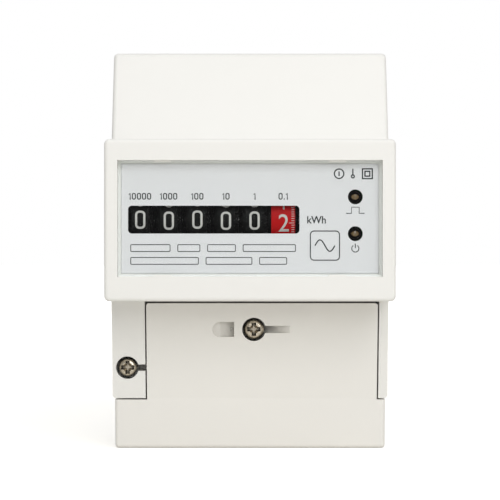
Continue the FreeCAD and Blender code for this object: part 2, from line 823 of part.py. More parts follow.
def side_front_edge(edge):
    at = middle(edge)
    low = at.z < -size("ear_bottom") - size("past")
    return low and near(abs(at.x), size("cover_half")) and at.y < -size("cover_foot") + size("past")


def seal_features(body):
    """The screw's seat, and the seal wire's way from the pocket through the screw to the slot."""
    outer = "shoulder_root + past"
    pad_back = "dee_floor - seal_seat_thickness"
    add(body, "seal_pad", FRONT, pad_back, "seal_skin - cover_wall / 2",
        box_loop("-seal_pad_left", "seal_pad_right",
                 "-seal_drop - seal_pad_half", "-seal_drop + seal_pad_half"))
    add(body, "seal_boss", FRONT, "seal_face", "dee_floor",
        disc("seal_x", "-seal_drop", "seal_hole + seal_seat_thickness"))
    cut(body, "seal_counterbore", FRONT, "seal_seat", outer, disc("seal_x", "-seal_drop", "seal_hole"))
    cut(body, "seal_bore", FRONT, "seal_face - past", "seal_seat + past",
        disc("seal_x", "-seal_drop", "screw_shank + screw_play"))
    round_left = "dee_half - dee_left"
    cut(body, "dee_pocket", FRONT, "seal_skin - dee_brim", outer,
        box_loop(round_left, "-dee_right", "-seal_drop - dee_half", "-seal_drop + dee_half"))
    cut(body, "dee_round", FRONT, "seal_skin - dee_brim", outer, disc(round_left, "-seal_drop", "dee_half"))
    cut(body, "dee_ramp", TOP, "-seal_drop - dee_half", "-seal_drop + dee_half", [
        (round_left, "dee_brim - seal_skin"),
        ("-dee_right", "-dee_floor"),
        ("-dee_right", "-seal_skin"),
        (round_left, "-seal_skin"),
    ])
    cut(body, "wire_tunnel", SIDE, "-dee_right - past", "seal_x",
        disc("-wire_depth", "-seal_drop", "wire_hole"))
    cut(body, "wire_ramp", TOP, "-seal_drop - wire_slot_half", "-seal_drop + wire_slot_half", [
        ("seal_x + seal_hole / 2", "-seal_seat - past"),
        ("seal_x + seal_hole", "-seal_seat - past"),
        ("wire_slot_end", "-seal_skin"),
        ("wire_slot_end", "-shoulder_root - past"),
        ("seal_x + seal_hole / 2", "-shoulder_root - past"),
    ])


# Window and nameplate

def window():
    body = new_body("window")
    add(body, "sheet", FRONT, "window_back", "window_front",
        box_loop("recess_left + window_play", "recess_right - window_play",
                 "recess_low + window_play", "recess_high - window_play"))
    front = -size("window_front")
    round_edges(body, "bevel", "window_bevel",
                lambda edge: near(middle(edge).y, front), "PartDesign::Chamfer")
    cut(body, "snap_notches", FRONT, "window_front - snap_depth - window_play", "window_front + past",
        *snap_loops("window_play"))


def nameplate():
    body = new_body("nameplate")
    add(body, "sheet", FRONT, "ledge_front", "plate_front",
        box_loop("recess_left + window_step + window_play", "recess_right - window_step - window_play",
                 "recess_low + window_step + window_play", "recess_high - window_step - window_play"))
    cut(body, "counter_slot", FRONT, "ledge_front - past", "plate_front + past",
        box_loop("-slot_left", "slot_right",
                 "register_lift - slot_height / 2", "register_lift + slot_height / 2"))
    round_edges(body, "slot_corners", "slot_round", lambda edge: straight(edge, 1)
                and abs(middle(edge).z - size("register_lift")) < size("slot_height") / 2 + 0.1
                and abs(middle(edge).x) < size("slot_left") + 0.1)
    cut(body, "lamp_windows", FRONT, "ledge_front - past", "plate_front + past",
        disc("lamp_x", "pulse_lamp_lift", "lamp_window"), disc("lamp_x", "-power_lamp_drop", "lamp_window"))


# Rail latch

def din_latch():
    body = new_body("din_latch")
    rear = "latch_seat"
    ledge = rear + " + latch_flange_thickness"
    outer = "latch_seat + latch_thickness"
    add(body, "tongue", TOP, "-case_bottom + latch_clearance", "-latch_top",
        box_loop("-latch_width / 2", "latch_width / 2", rear, outer))
    add(body, "flange", TOP, "-case_bottom + latch_clearance", "-seat_drop - latch_clearance",
        box_loop("-latch_flange / 2", "latch_flange / 2", rear, ledge))
    cut(body, "lead_in", SIDE, "-latch_width / 2 - past", "latch_width / 2 + past", [
        (rear + " + latch_nose", "-latch_top + past"),
        (rear + " + latch_nose", "-latch_top"),
        (outer, "-seat_drop + latch_nose"),
        (outer + " + past", "-seat_drop + latch_nose"),
        (outer + " + past", "-latch_top + past"),
    ])
    cut(body, "spring_window", FRONT, "-(%s) - past" % outer, "-(%s) + past" % rear,
        box_loop("-spring_window_width / 2", "spring_window_width / 2",
                 "-spring_seat_drop - latch_drop", "-spring_top + latch_play"))
    cut(body, "pull_slot", FRONT, "-(%s) - past" % outer, "-(%s) + past" % rear,
        box_loop("-latch_pull_width / 2", "latch_pull_width / 2",
                 "latch_pull_lift - case_bottom", "latch_pull_lift + latch_pull_height - case_bottom"))


def latch_spring():
    """A compression spring along Z between the peg on the base and the latch."""
    radius = size("spring_radius")
    wire = size("spring_wire")
    run = size("spring_length") - 2 * wire
    steps = int(size("spring_turns") * SPRING_STEPS)
    path = []
    for step in range(steps + 1):
        angle = 2 * math.pi * step / SPRING_STEPS
        path.append(FreeCAD.Vector(radius * math.cos(angle), radius * math.sin(angle), run * step / steps))
    ring = []
    for corner in range(6):
        angle = math.pi * corner / 3
        ring.append(FreeCAD.Vector(radius + wire * math.cos(angle), 0, wire * math.sin(angle)))
    spine = Part.makePolygon(path)
    section = Part.makePolygon(ring + ring[:1])
    spring = doc.addObject("Part::Feature", "latch_spring")
    spring.Shape = spine.makePipeShell([section], True, True, 1)
    seat = wire - size("spring_seat_drop")
    depth = size("flange_space") + size("latch_thickness") / 2
    spring.Placement = FreeCAD.Placement(FreeCAD.Vector(0, depth, seat), FreeCAD.Rotation())
    pieces.append(spring)


# Register

def tooth_gap(angle, root, tip, root_width, tip_width):
    """Corners of one gap between teeth, centred on a direction given in degrees."""
    corners = []
    sides = ((root, "-" + root_width), (tip, "-" + tip_width), (tip, tip_width), (root, root_width))
    for reach, half in sides:
        corners.append((
            "(%s) * cos(%s) - (%s) / 2 * sin(%s)" % (reach, angle, half, angle),
            "(%s) * sin(%s) + (%s) / 2 * cos(%s)" % (reach, angle, half, angle),
        ))
    return corners


def cut_teeth(body, name, left, right, module, teeth, angle, root_share, tip_share):
    root = "%s * (%s / 2 - %s)" % (module, teeth, DEDENDUM)
    tip = "%s * (%s / 2 + %s)" % (module, teeth, ADDENDUM)
    gap = cut(body, name + "_gap", SIDE, left, right,
              tooth_gap(angle, root, tip, "%s * %s" % (root_share, module), "%s * %s" % (tip_share, module)))
    repeat_round(body, gap, name, teeth)


def tip_radius(module, teeth):
    return "%s * (%s / 2 + %s)" % (module, teeth, ADDENDUM)


def number_wheel(name, index, last=False):
    """A drum with its input gear at the right and its carry ring at the left."""
    body = new_body(name)
    half = "last_drum_width / 2" if last else "drum_width / 2"
    gear = tip_radius("drive_module", "drive_teeth") if last else tip_radius("wheel_module", "wheel_teeth")
    face = "%s + gear_face" % half
    inner = "%s - web" % half
    carry_end = "-%s" % half if index == 0 else "-%s - carry_wall" % half
    turn(body, "drum", [
        ("-hub_left", "axle_radius + running_gap"),
        (face, "axle_radius + running_gap"),
        (face, gear),
        (half, gear),
        (half, "drum_radius"),
        ("-%s" % half, "drum_radius"),
        ("-%s" % half, "drum_radius - drum_wall"),
        (inner, "drum_radius - drum_wall"),
        (inner, "carry_radius"),
        (carry_end, "carry_radius"),
        (carry_end, "carry_radius - carry_wall"),
        (inner, "carry_radius - carry_wall"),
        (inner, "hub_radius"),
        ("-hub_left", "hub_radius"),
    ])
    if index > 0:
        tooth = add(body, "carry_tooth", SIDE, carry_end, "-%s" % half,
                    box_loop("carry_radius - carry_wall / 2", "carry_radius + carry_reach",
                             "-carry_wall / 2", "carry_wall / 2"))
        pair = body.newObject("PartDesign::PolarPattern", "carry_teeth")
        pair.Originals = [tooth]
        pair.Axis = (origin_feature(body, "X_Axis"), [""])
        bind(pair, "Angle", "2 * 360 / wheel_teeth")
        pair.Occurrences = 2
        body.Tip = pair
    if last:
        cut_teeth(body, "drive_teeth_ring", half, face + " + past", "drive_module", "drive_teeth",
                  "reduction_angle", GEAR_GAP_ROOT, GEAR_GAP_TIP)
    else:
        cut_teeth(body, "input_teeth_ring", half, face + " + past", "wheel_module", "wheel_teeth",
                  "pinion_angle", GEAR_GAP_ROOT, GEAR_GAP_TIP)
    place(body, "%d * wheel_pitch - first_wheel" % index, "register_depth", "register_lift")


def pinion_bore(body, left, right, radius):
    cut(body, "bore", SIDE, left + " - past", right + " + past", disc("0", "0", radius))


def transfer_pinion(index):
    """Between wheels index and index + 1, counted from the left."""
    body = new_body("transfer_pinion_%d" % (index + 1))
    right = "wheel_pitch - drum_width / 2"
    if index == 4:
        right = "wheel_pitch - last_drum_width / 2"
    left = "drum_width / 2 + hub_gap"
    right += " - hub_gap"
    add(body, "blank", SIDE, left, right, disc("0", "0", tip_radius("wheel_module", "pinion_teeth")))
    cut_teeth(body, "teeth", left + " - past", right + " + past", "wheel_module", "pinion_teeth",
              "pinion_angle + 180 + 180 / pinion_teeth", PINION_GAP_ROOT, PINION_GAP_TIP)
    pinion_bore(body, left, right, "axle_radius + running_gap")
    place(body, "%d * wheel_pitch - first_wheel" % index, "pinion_depth", "pinion_lift")


def reduction_gear():
    body = new_body("reduction_gear")
    add(body, "small_blank", SIDE, "train_left", "train_step",
        disc("0", "0", tip_radius("drive_module", "pinion_teeth")))
    cut_teeth(body, "small_teeth", "train_left - past", "train_step", "drive_module", "pinion_teeth",
              "reduction_angle + 180 + 180 / pinion_teeth", PINION_GAP_ROOT, PINION_GAP_TIP)
    add(body, "large_blank", SIDE, "train_step", "train_right",
        disc("0", "0", tip_radius("motor_module", "reduction_teeth")))
    cut_teeth(body, "large_teeth", "train_step", "train_right + past", "motor_module", "reduction_teeth",
              "motor_angle", GEAR_GAP_ROOT, GEAR_GAP_TIP)
    pinion_bore(body, "train_left", "train_right", "pin_radius + running_gap")
    place(body, "0", "reduction_depth", "reduction_lift")


def motor_pinion():
    body = new_body("motor_pinion")
    left = "train_step - hub_gap"
    right = "train_right + hub_gap"
    add(body, "blank", SIDE, left, right, disc("0", "0", tip_radius("motor_module", "pinion_teeth")))
    cut_teeth(body, "teeth", left + " - past", right + " + past", "motor_module", "pinion_teeth",
              "motor_angle + 180 + 180 / pinion_teeth", PINION_GAP_ROOT, PINION_GAP_TIP)
    pinion_bore(body, left, right, "pin_radius + running_gap")
    place(body, "0", "motor_depth", "motor_lift")


def stepper_motor():
    body = new_body("stepper_motor")
    add(body, "can", SIDE, "frame_right", "frame_right + motor_length", disc("0", "0", "motor_radius"))
    add(body, "shaft", SIDE, "train_step - hub_gap", "frame_right + frame_thickness",
        disc("0", "0", "pin_radius"))
    place(body, "0", "motor_depth", "motor_lift")


def register_frame():
    """A bracket whose two cheeks carry the axles of the wheels, the pinions and the reduction gear."""
    body = new_body("register_frame")
    margin = "frame_margin"
    low = "pinion_lift - " + margin
    front = "-(register_depth + %s)" % margin
    add(body, "back_plate", FRONT, "board_front", "board_front + frame_thickness",
        box_loop("frame_left", "frame_right", low, "register_lift + drum_radius"))
    add(body, "left_cheek", SIDE, "frame_left", "cheek_left", [
        ("-board_front", low),
        ("-pinion_depth - " + margin, low),
        (front, "register_lift - " + margin),
        (front, "register_lift + " + margin),
        ("-board_front", "register_lift + drum_radius"),
    ])
    add(body, "right_cheek", SIDE, "cheek_right", "frame_right", [
        ("-board_front", low),
        ("-pinion_depth - " + margin, low),
        (front, "register_lift - " + margin),
        ("-motor_depth - motor_radius", "motor_lift - motor_radius"),
        ("-motor_depth - motor_radius", "motor_lift + motor_radius"),
        ("-board_front", "motor_lift + motor_radius"),
    ])
    cut(body, "axle_holes", SIDE, "frame_left - past", "frame_right + past",
        disc("-register_depth", "register_lift", "axle_radius + screw_play"),
        disc("-pinion_depth", "pinion_lift", "axle_radius + screw_play"))
    cut(body, "train_holes", SIDE, "cheek_right - past", "frame_right + past",
        disc("-reduction_depth", "reduction_lift", "pin_radius + screw_play"),
        disc("-motor_depth", "motor_lift", "pin_radius + 2 * screw_play"))


def axles():
    rod("wheel_shaft", "axle_radius", "frame_left", "frame_right", "register_depth", "register_lift")
    rod("pinion_shaft", "axle_radius", "frame_left", "frame_right", "pinion_depth", "pinion_lift")
    rod("reduction_pin", "pin_radius", "train_left", "frame_right", "reduction_depth", "reduction_lift")


# Boards and what they carry

def display_board():
    body = new_body("display_board")
    add(body, "sheet", FRONT, "board_back", "board_front",
        box_loop("-display_board_half", "display_board_half",
                 "-display_board_edge", "display_board_edge"))
    cut(body, "screw_holes", FRONT, "board_back - past", "board_front + past",
        *four_discs("display_post_x", "display_post_z", "board_screw + screw_play"))


def power_board():
    body = new_body("power_board")
    add(body, "sheet", FRONT, "power_back", "power_front",
        box_loop("-power_board_half", "power_board_half", "-power_board_bottom", "power_board_top"))
    cut(body, "screw_holes", FRONT, "power_back - past", "power_front + past",
        *four_discs("power_post_x", "power_post_z", "board_screw + screw_play"))


def board_screws(name, head, stem, across, up):
    """Four alike screws as separate solids; head and stem give where each starts and ends."""
    body = new_body(name)
    head_pad = add(body, "head", FRONT, *head, disc("-" + across, "-" + up, "board_screw_head"))
    stem_pad = add(body, "stem", FRONT, *stem, disc("-" + across, "-" + up, "board_screw"))
    repeat_row(body, [head_pad, stem_pad], "row", "X_Axis", "2 * " + across, "2")
    repeat_up(body, "2 * " + up)


def lamp(name, up):
    body = new_body(name)
    seat = "lamp_back + lamp_flange_thickness"
    add(body, "flange", FRONT, "lamp_back", seat, disc("lamp_x", up, "lamp_flange"))
    add(body, "lens", FRONT, "lamp_back", "lamp_tip", disc("lamp_x", up, "lamp_radius"))
    round_edges(body, "dome", "lamp_dome", lambda edge: near(middle(edge).y, -size("lamp_tip")))
    add(body, "leads", FRONT, "board_front", seat,
        bar_loop("lamp_x - lead_spacing / 2", up, "lead_width", "lead_width"),
        bar_loop("lamp_x + lead_spacing / 2", up, "lead_width", "lead_width"))


def board_header():
    body = new_body("board_header")
    half = "header_block / 2"
    length = "header_pitch * header_pins"
    add(body, "block", FRONT, "power_front", "power_front + header_block",
        box_loop("header_x - " + half, "header_x + " + half, "header_lift - header_pitch / 2",
                 "header_lift - header_pitch / 2 + " + length))
    pin = add(body, "pin", FRONT, "power_front + header_block / 2", "board_back",
              box_loop("header_x - header_pin / 2", "header_x + header_pin / 2",
                       "header_lift - header_pin / 2", "header_lift + header_pin / 2"))
    repeat_row(body, [pin], "pins", "Z_Axis", "header_pitch", "header_pins")


def film_capacitor():
    body = new_body("film_capacitor")
    add(body, "block", FRONT, "power_front", "power_front + capacitor_depth",
        box_loop("capacitor_left", "capacitor_right", "capacitor_low", "capacitor_low + capacitor_height"))
    round_edges(body, "edges", "capacitor_round", lambda edge: straight(edge, 1))


def storage_capacitors():
    body = new_body("storage_capacitors")
    can = add(body, "can", FRONT, "power_front", "power_front + storage_length",
              disc("storage_x", "storage_z", "storage_radius"))
    repeat_row(body, [can], "pair", "X_Axis", "storage_spacing", "2")


def varistor():
    body = new_body("varistor")
    half = "varistor_thickness / 2"
    up = "power_front + varistor_radius + varistor_lift"
    add(body, "disc", SIDE, "varistor_x - " + half, "varistor_x + " + half,
        disc("-(%s)" % up, "varistor_z", "varistor_radius"))
    add(body, "leads", FRONT, "power_front", up,
        bar_loop("varistor_x", "varistor_z - lead_spacing", "lead_width", "lead_width"),
        bar_loop("varistor_x", "varistor_z + lead_spacing", "lead_width", "lead_width"))


def metering_chip():
    body = new_body("metering_chip")
    add(body, "block", FRONT, "power_front + chip_standoff", "power_front + chip_depth",
        bar_loop("chip_x", "chip_z", "chip_width", "chip_height"))
    first = "chip_x - chip_pitch * (chip_leads - 1) / 2"
    lead = add(body, "lead_pair", FRONT, "power_front", "power_front + chip_depth / 2",
               bar_loop(first, "chip_z", "chip_lead_width", "chip_span"))
    repeat_row(body, [lead], "leads", "X_Axis", "chip_pitch", "chip_leads")


def crystal():
    body = new_body("crystal")
    left = "crystal_x - (crystal_length - crystal_width) / 2"
    right = "crystal_x + (crystal_length - crystal_width) / 2"
    top = "power_front + crystal_depth"
    add(body, "middle", FRONT, "power_front", top,
        bar_loop("crystal_x", "crystal_z", "(crystal_length - crystal_width)", "crystal_width"))
    add(body, "left_end", FRONT, "power_front", top, disc(left, "crystal_z", "crystal_width / 2"))
    add(body, "right_end", FRONT, "power_front", top, disc(right, "crystal_z", "crystal_width / 2"))


def optocoupler():
    body = new_body("optocoupler")
    add(body, "block", FRONT, "power_front + chip_standoff", "power_front + coupler_depth",
        bar_loop("coupler_x", "coupler_z", "coupler_width", "coupler_height"))
    lead = add(body, "lead_pair", FRONT, "power_front", "power_front + coupler_depth / 2",
               bar_loop("coupler_x", "coupler_z - lead_spacing / 2", "coupler_span", "lead_width"))
    repeat_row(body, [lead], "leads", "Z_Axis", "lead_spacing", "2")


# Terminals

def terminal_carrier():
    body = new_body("terminal_carrier")
    low = "-case_bottom + wall"
    top = "-terminal_high"
    add(body, "block", FRONT, "wall", "carrier_front",
        box_loop("-carrier_half", "carrier_half", low, top))
    half = "terminal_width / 2 + terminal_gap"
    chamber = cut(body, "chamber", TOP, "-terminal_low", top + " + past",
                  box_loop("-terminal_first - (%s)" % half, "-terminal_first + " + half,
                           "-terminal_front - terminal_gap", "-terminal_back + terminal_gap"))
    entry = cut(body, "entry", TOP, low + " - past", "-terminal_low + past",
                disc("-terminal_first", "-terminal_y", "wire_bore"))
    low_screw = "-terminal_low + clamp_screw_low"
    access = cut(body, "access", FRONT, "terminal_front - past", "carrier_front + past",
                 disc("-terminal_first", low_screw, "clamp_access"),
                 disc("-terminal_first", low_screw + " + clamp_screw_spacing", "clamp_access"))
    repeat_row(body, [chamber, entry, access], "bays", "X_Axis", "terminal_pitch", "terminal_count")
    cut(body, "pulse_chamber", TOP, "-terminal_low", top + " + past",
        box_loop("pulse_x - pulse_width / 2", "pulse_x + pulse_width / 2",
                 "-pulse_front", "-pulse_front + pulse_depth"))
    cut(body, "pulse_entries", TOP, low + " - past", "-terminal_low + past",
        disc("pulse_x - pulse_spacing / 2", "-terminal_y", "pulse_bore"),
        disc("pulse_x + pulse_spacing / 2", "-terminal_y", "pulse_bore"))
    cut(body, "pulse_access", FRONT, "pulse_front - past", "carrier_front + past",
        disc("pulse_x - pulse_spacing / 2", "-terminal_low + pulse_screw_low", "pulse_access"),
        disc("pulse_x + pulse_spacing / 2", "-terminal_low + pulse_screw_low", "pulse_access"))


def terminal(index):
    body = new_body("terminal_%d" % (index + 1))
    centre = "%d * terminal_pitch - terminal_first" % index
    add(body, "block", TOP, "-terminal_low", "-terminal_high",
        box_loop("%s - terminal_width / 2" % centre, "%s + terminal_width / 2" % centre,
                 "-terminal_front", "-terminal_back"))
    cut(body, "wire_way", TOP, "-terminal_low - past", "-terminal_low + wire_bore_length",
        disc(centre, "-terminal_y", "wire_bore"))
    low_screw = "-terminal_low + clamp_screw_low"
    cut(body, "screw_holes", FRONT, "terminal_y", "terminal_front + past",
        disc(centre, low_screw, "clamp_screw + clamp_screw_play"),
        disc(centre, low_screw + " + clamp_screw_spacing", "clamp_screw + clamp_screw_play"))


def terminal_screws():
    body = new_body("terminal_screws")
    low = "-terminal_low + clamp_screw_low"
    stem = add(body, "stem", FRONT, "clamp_tip", "clamp_tip + clamp_screw_length",
               disc("-terminal_first", low, "clamp_screw"))
    slot = cut(body, "slot", FRONT, "clamp_tip + clamp_screw_length - clamp_slot_depth",
               "clamp_tip + clamp_screw_length + past",
               box_loop("-terminal_first - clamp_screw - past", "-terminal_first + clamp_screw + past",
                        low + " - clamp_slot_width / 2", low + " + clamp_slot_width / 2"))
    repeat_row(body, [stem, slot], "rows", "X_Axis", "terminal_pitch", "terminal_count")
    repeat_up(body, "clamp_screw_spacing")


def strap(name, index, tabs):
    """A flat bar over two neighbouring terminals, with tabs that rise to the power board."""
    body = new_body(name)
    left = "%d * terminal_pitch - terminal_first - strap_left" % index
    right = "%d * terminal_pitch - terminal_first + strap_reach" % (index + 1)
    add(body, "bar", TOP, "-terminal_high", "-strap_top",
        box_loop(left, right, "-terminal_y - strap_depth / 2", "-terminal_y + strap_depth / 2"))
    for number, tab in enumerate(tabs):
        centre = "%d * terminal_pitch - terminal_first + (%s)" % (index, tab)
        add(body, "tab_%d" % (number + 1), TOP,
            "-strap_top - strap_thickness / 2", "tab_lap - power_board_bottom",
            box_loop("%s - tab_width / 2" % centre, "%s + tab_width / 2" % centre,
                     "-power_front - tab_thickness", "-power_front"))


def pulse_terminals():
    body = new_body("pulse_terminals")
    add(body, "block", TOP, "-terminal_low", "-terminal_high",
        box_loop("pulse_x - pulse_width / 2 + terminal_gap", "pulse_x + pulse_width / 2 - terminal_gap",
                 "-pulse_front + terminal_gap", "-pulse_front + pulse_depth - terminal_gap"))
    cut(body, "wire_ways", TOP, "-terminal_low - past", "-terminal_low + pulse_bore_length",
        disc("pulse_x - pulse_spacing / 2", "-terminal_y", "pulse_bore"),
        disc("pulse_x + pulse_spacing / 2", "-terminal_y", "pulse_bore"))
    cut(body, "screw_ways", FRONT, "terminal_y", "pulse_front + past",
        disc("pulse_x - pulse_spacing / 2", "-terminal_low + pulse_screw_low", "pulse_screw + screw_play"),
        disc("pulse_x + pulse_spacing / 2", "-terminal_low + pulse_screw_low", "pulse_screw + screw_play"))


def pulse_screws():
    body = new_body("pulse_screws")
    low = "-terminal_low + pulse_screw_low"
    stem = add(body, "stem", FRONT, "terminal_y + pulse_bore + screw_play",
               "terminal_y + pulse_bore + screw_play + pulse_screw_length",
               disc("pulse_x - pulse_spacing / 2", low, "pulse_screw"))
    repeat_row(body, [stem], "pair", "X_Axis", "pulse_spacing", "2")


# Sealing screws

def sealing_screw(name, across, up, seat, radius, height, tip):
    """A domed head with a tapered cross recess and a hole for the seal wire, and a plain stem."""
    body = new_body(name)
    top = "%s + %s" % (seat, height)
    add(body, "head", FRONT, seat, top, disc(across, up, radius))
    face = -size(seat) - size(height)
    round_edges(body, "crown", "head_round", lambda edge: near(middle(edge).y, face))
    add(body, "stem", FRONT, tip, "%s + %s / 2" % (seat, height), disc(across, up, "screw_shank"))
    recess = (top + " - recess_depth", top + " + past")
    flared_cut("recess_taper", body, "recess_bar", FRONT, *recess,
               bar_loop(across, up, "recess_length", "recess_width"))
    flared_cut("recess_taper", body, "recess_cross", FRONT, *recess,
               bar_loop(across, up, "recess_width", "recess_length"))
    flared_cut("recess_core_taper", body, "recess_core", FRONT, *recess, disc(across, up, "recess_core"))
    cut(body, "wire_way", SIDE, "%s - %s - past" % (across, radius), "%s + %s + past" % (across, radius),
        disc("-%s - wire_hole_lift" % seat, up, "wire_hole"))


# Build

WHEELS = (
    "wheel_ten_thousands",
    "wheel_thousands",
    "wheel_hundreds",
    "wheel_tens",
    "wheel_units",
    "wheel_tenths",
)


def build():
    base_case()
    front_case()
    terminal_cover()
    window()
    nameplate()
    din_latch()
    latch_spring()
    for index, name in enumerate(WHEELS):
        number_wheel(name, index, last=index == len(WHEELS) - 1)
    for index in range(len(WHEELS) - 1):
        transfer_pinion(index)
    reduction_gear()
    motor_pinion()
    stepper_motor()
    register_frame()
    axles()
    display_board()
    power_board()
    board_screws("power_board_screws", ("power_front", "power_front + board_screw_head_height"),
                 ("power_front - board_screw_length", "power_front"), "power_post_x", "power_post_z")
    board_screws("display_board_screws", ("board_back - board_screw_head_height", "board_back"),
                 ("board_back", "board_back + board_screw_length"), "display_post_x", "display_post_z")
    lamp("pulse_lamp", "pulse_lamp_lift")
    lamp("power_lamp", "-power_lamp_drop")
    board_header()
    film_capacitor()
    storage_capacitors()
    varistor()
    metering_chip()
    crystal()
    optocoupler()
    terminal_carrier()
    for index in range(SIZES["terminal_count"]):
        terminal(index)
    terminal_screws()
    strap("current_shunt", 0, ("shunt_tab", "terminal_pitch - shunt_tab"))
    strap("neutral_link", 2, ("terminal_pitch / 2",))
    pulse_terminals()
    pulse_screws()
    sealing_screw("cover_screw", "seal_x", "-seal_drop", "seal_seat", "seal_head", "seal_head_height",
                  "seal_face - screw_bite")
    sealing_screw("case_screw", "-ear_screw_left", "-ear_screw_drop", "ear_seat", "ear_head",
                  "ear_head_height", "parting_depth - screw_bite")


def write():
    doc.recompute()
    faults = [item.Name for item in doc.Objects if "Invalid" in item.State or "Error" in item.State]
    for piece in pieces:
        if piece.Shape.isNull() or not piece.Shape.isValid():
            faults.append(piece.Label)
    if faults:
        raise RuntimeError("failed: " + ", ".join(faults))
    os.makedirs("parts", exist_ok=True)
    for piece in pieces:
        piece.Shape.exportStep("parts/%s.step" % piece.Label)


sheet = fill_sheet()
build()
write()
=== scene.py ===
import math

import bmesh
import bpy
from bpy.props import FloatProperty, FloatVectorProperty, PointerProperty
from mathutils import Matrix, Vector


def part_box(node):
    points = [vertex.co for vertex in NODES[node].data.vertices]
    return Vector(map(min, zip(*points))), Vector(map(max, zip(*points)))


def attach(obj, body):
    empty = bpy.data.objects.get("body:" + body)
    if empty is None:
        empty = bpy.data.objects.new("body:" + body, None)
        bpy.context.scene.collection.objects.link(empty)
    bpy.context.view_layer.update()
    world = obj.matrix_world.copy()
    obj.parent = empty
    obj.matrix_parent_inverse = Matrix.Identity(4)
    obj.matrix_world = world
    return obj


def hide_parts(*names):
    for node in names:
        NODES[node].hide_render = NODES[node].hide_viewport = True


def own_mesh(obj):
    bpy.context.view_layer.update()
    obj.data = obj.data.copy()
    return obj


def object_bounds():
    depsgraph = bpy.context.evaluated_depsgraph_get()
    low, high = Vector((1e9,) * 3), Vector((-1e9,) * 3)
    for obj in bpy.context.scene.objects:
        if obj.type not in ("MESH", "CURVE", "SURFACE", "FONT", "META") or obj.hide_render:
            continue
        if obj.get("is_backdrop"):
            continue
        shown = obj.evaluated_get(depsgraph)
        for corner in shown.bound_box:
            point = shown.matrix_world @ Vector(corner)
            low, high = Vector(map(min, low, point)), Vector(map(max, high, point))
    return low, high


bl_info = {
    "name": "Electricity Meter Looks",
    "version": (1, 0, 0),
    "blender": (4, 5, 0),
    "location": "View3D > Sidebar > Meter",
    "description": "Finishes, printing and studio for a rail-mounted electricity meter",
    "category": "Object",
}

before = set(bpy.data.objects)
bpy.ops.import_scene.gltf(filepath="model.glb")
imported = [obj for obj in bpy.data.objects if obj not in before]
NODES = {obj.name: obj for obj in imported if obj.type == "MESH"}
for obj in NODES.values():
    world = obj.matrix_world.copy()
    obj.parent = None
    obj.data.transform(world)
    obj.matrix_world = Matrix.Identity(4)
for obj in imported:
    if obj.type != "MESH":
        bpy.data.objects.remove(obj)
MM = 0.001
CASE_BODY = "case"
DRUMS = (
    "wheel_ten_thousands",
    "wheel_thousands",
    "wheel_hundreds",
    "wheel_tens",
    "wheel_units",
    "wheel_tenths",
)
LAST_DRUM = "wheel_tenths"
# How far the wheels stand past their figures, in degrees. The last one is caught past its two.
LEADS = (0, 1.6, -0.2, 1.8, 1.4)
LAST_LEAD = math.radians(5.2)
PANE_PLAY = 0.02 * MM
FIGURE_DEPTH = 1.2 * MM
PLACE_VALUES = ("10000", "1000", "100", "10", "1", "0.1")
PINIONS = tuple("transfer_pinion_%d" % number for number in range(1, 6))
TERMINALS = tuple("terminal_%d" % number for number in range(1, 5))


def paint(red, green, blue):
    """A display colour, 0 to 255, as Blender's linear colour."""
    shares = [value / 255 for value in (red, green, blue)]
    return tuple(share / 12.92 if share <= 0.04045 else ((share + 0.055) / 1.055) ** 2.4 for share in shares)


def colour(label, text, red, green, blue):
    return FloatVectorProperty(name=label, description=text, subtype="COLOR", size=3, min=0, max=1,
                               default=paint(red, green, blue))


def length(label, text, millimetres):
    return FloatProperty(name=label, description=text, unit="LENGTH", min=0, default=millimetres * MM)


# Settings

class MeterColours(bpy.types.PropertyGroup):
    case: colour("Case", "Moulded plastic of the front case", 243, 242, 238)
    base: colour("Base", "Moulded plastic of the base case", 240, 239, 234)
    cover: colour("Cover", "Moulded plastic of the terminal cover", 242, 240, 235)
    lens: colour("Lens", "Indicator lamps", 30, 25, 18)
    die: colour("Die cup", "What shows in the middle of an indicator lamp", 122, 100, 68)
    plate: colour("Nameplate", "Printed sheet behind the window", 235, 234, 236)
    ink: colour("Ink", "Printing on the nameplate", 28, 32, 34)
    drum: colour("Drum", "Number wheels", 8, 8, 8)
    last_drum: colour("Last drum", "Band of the last wheel", 190, 9, 13)
    digits: colour("Digits", "Figures on the wheels", 205, 203, 199)
    latch: colour("Latch", "Rail latch", 44, 44, 45)
    board: colour("Board", "Lacquered circuit boards", 22, 92, 52)
    screws: colour("Screws", "Nickel plating of the sealing screws", 226, 216, 198)


class MeterPrinting(bpy.types.PropertyGroup):
    digit_height: length("Digit height", "Height of the figures on the wheels", 4.8)
    digit_width: length("Digit width", "Width of the figures on the wheels", 2.7)
    last_digit_height: length("Last digit height", "Height of the figures on the last wheel", 4.6)
    stroke: length("Stroke", "Width of the strokes of a figure", 0.56)
    relief: length("Relief", "How far the figures stand out of a wheel", 0.03)
    value_height: length("Place value height", "Height of the place values over the wheels", 1.75)
    line: length("Line", "Width of the printed lines", 0.28)
    ink_depth: length("Ink depth", "Thickness of the ink on the nameplate", 0.02)


class MeterStudio(bpy.types.PropertyGroup):
    distance: length("Camera distance", "From the camera to the bezel", 500)
    view_width: length("View width", "Width of the picture at the bezel", 130)
    key: FloatProperty(name="Key light", description="Softbox in front", default=7.0, min=0, unit="POWER")
    top: FloatProperty(name="Top light", description="Softbox above", default=2.0, min=0, unit="POWER")
    fill: FloatProperty(name="Fill", description="Light from all round", default=0.42, min=0,
                        subtype="FACTOR")


# Shared shader groups

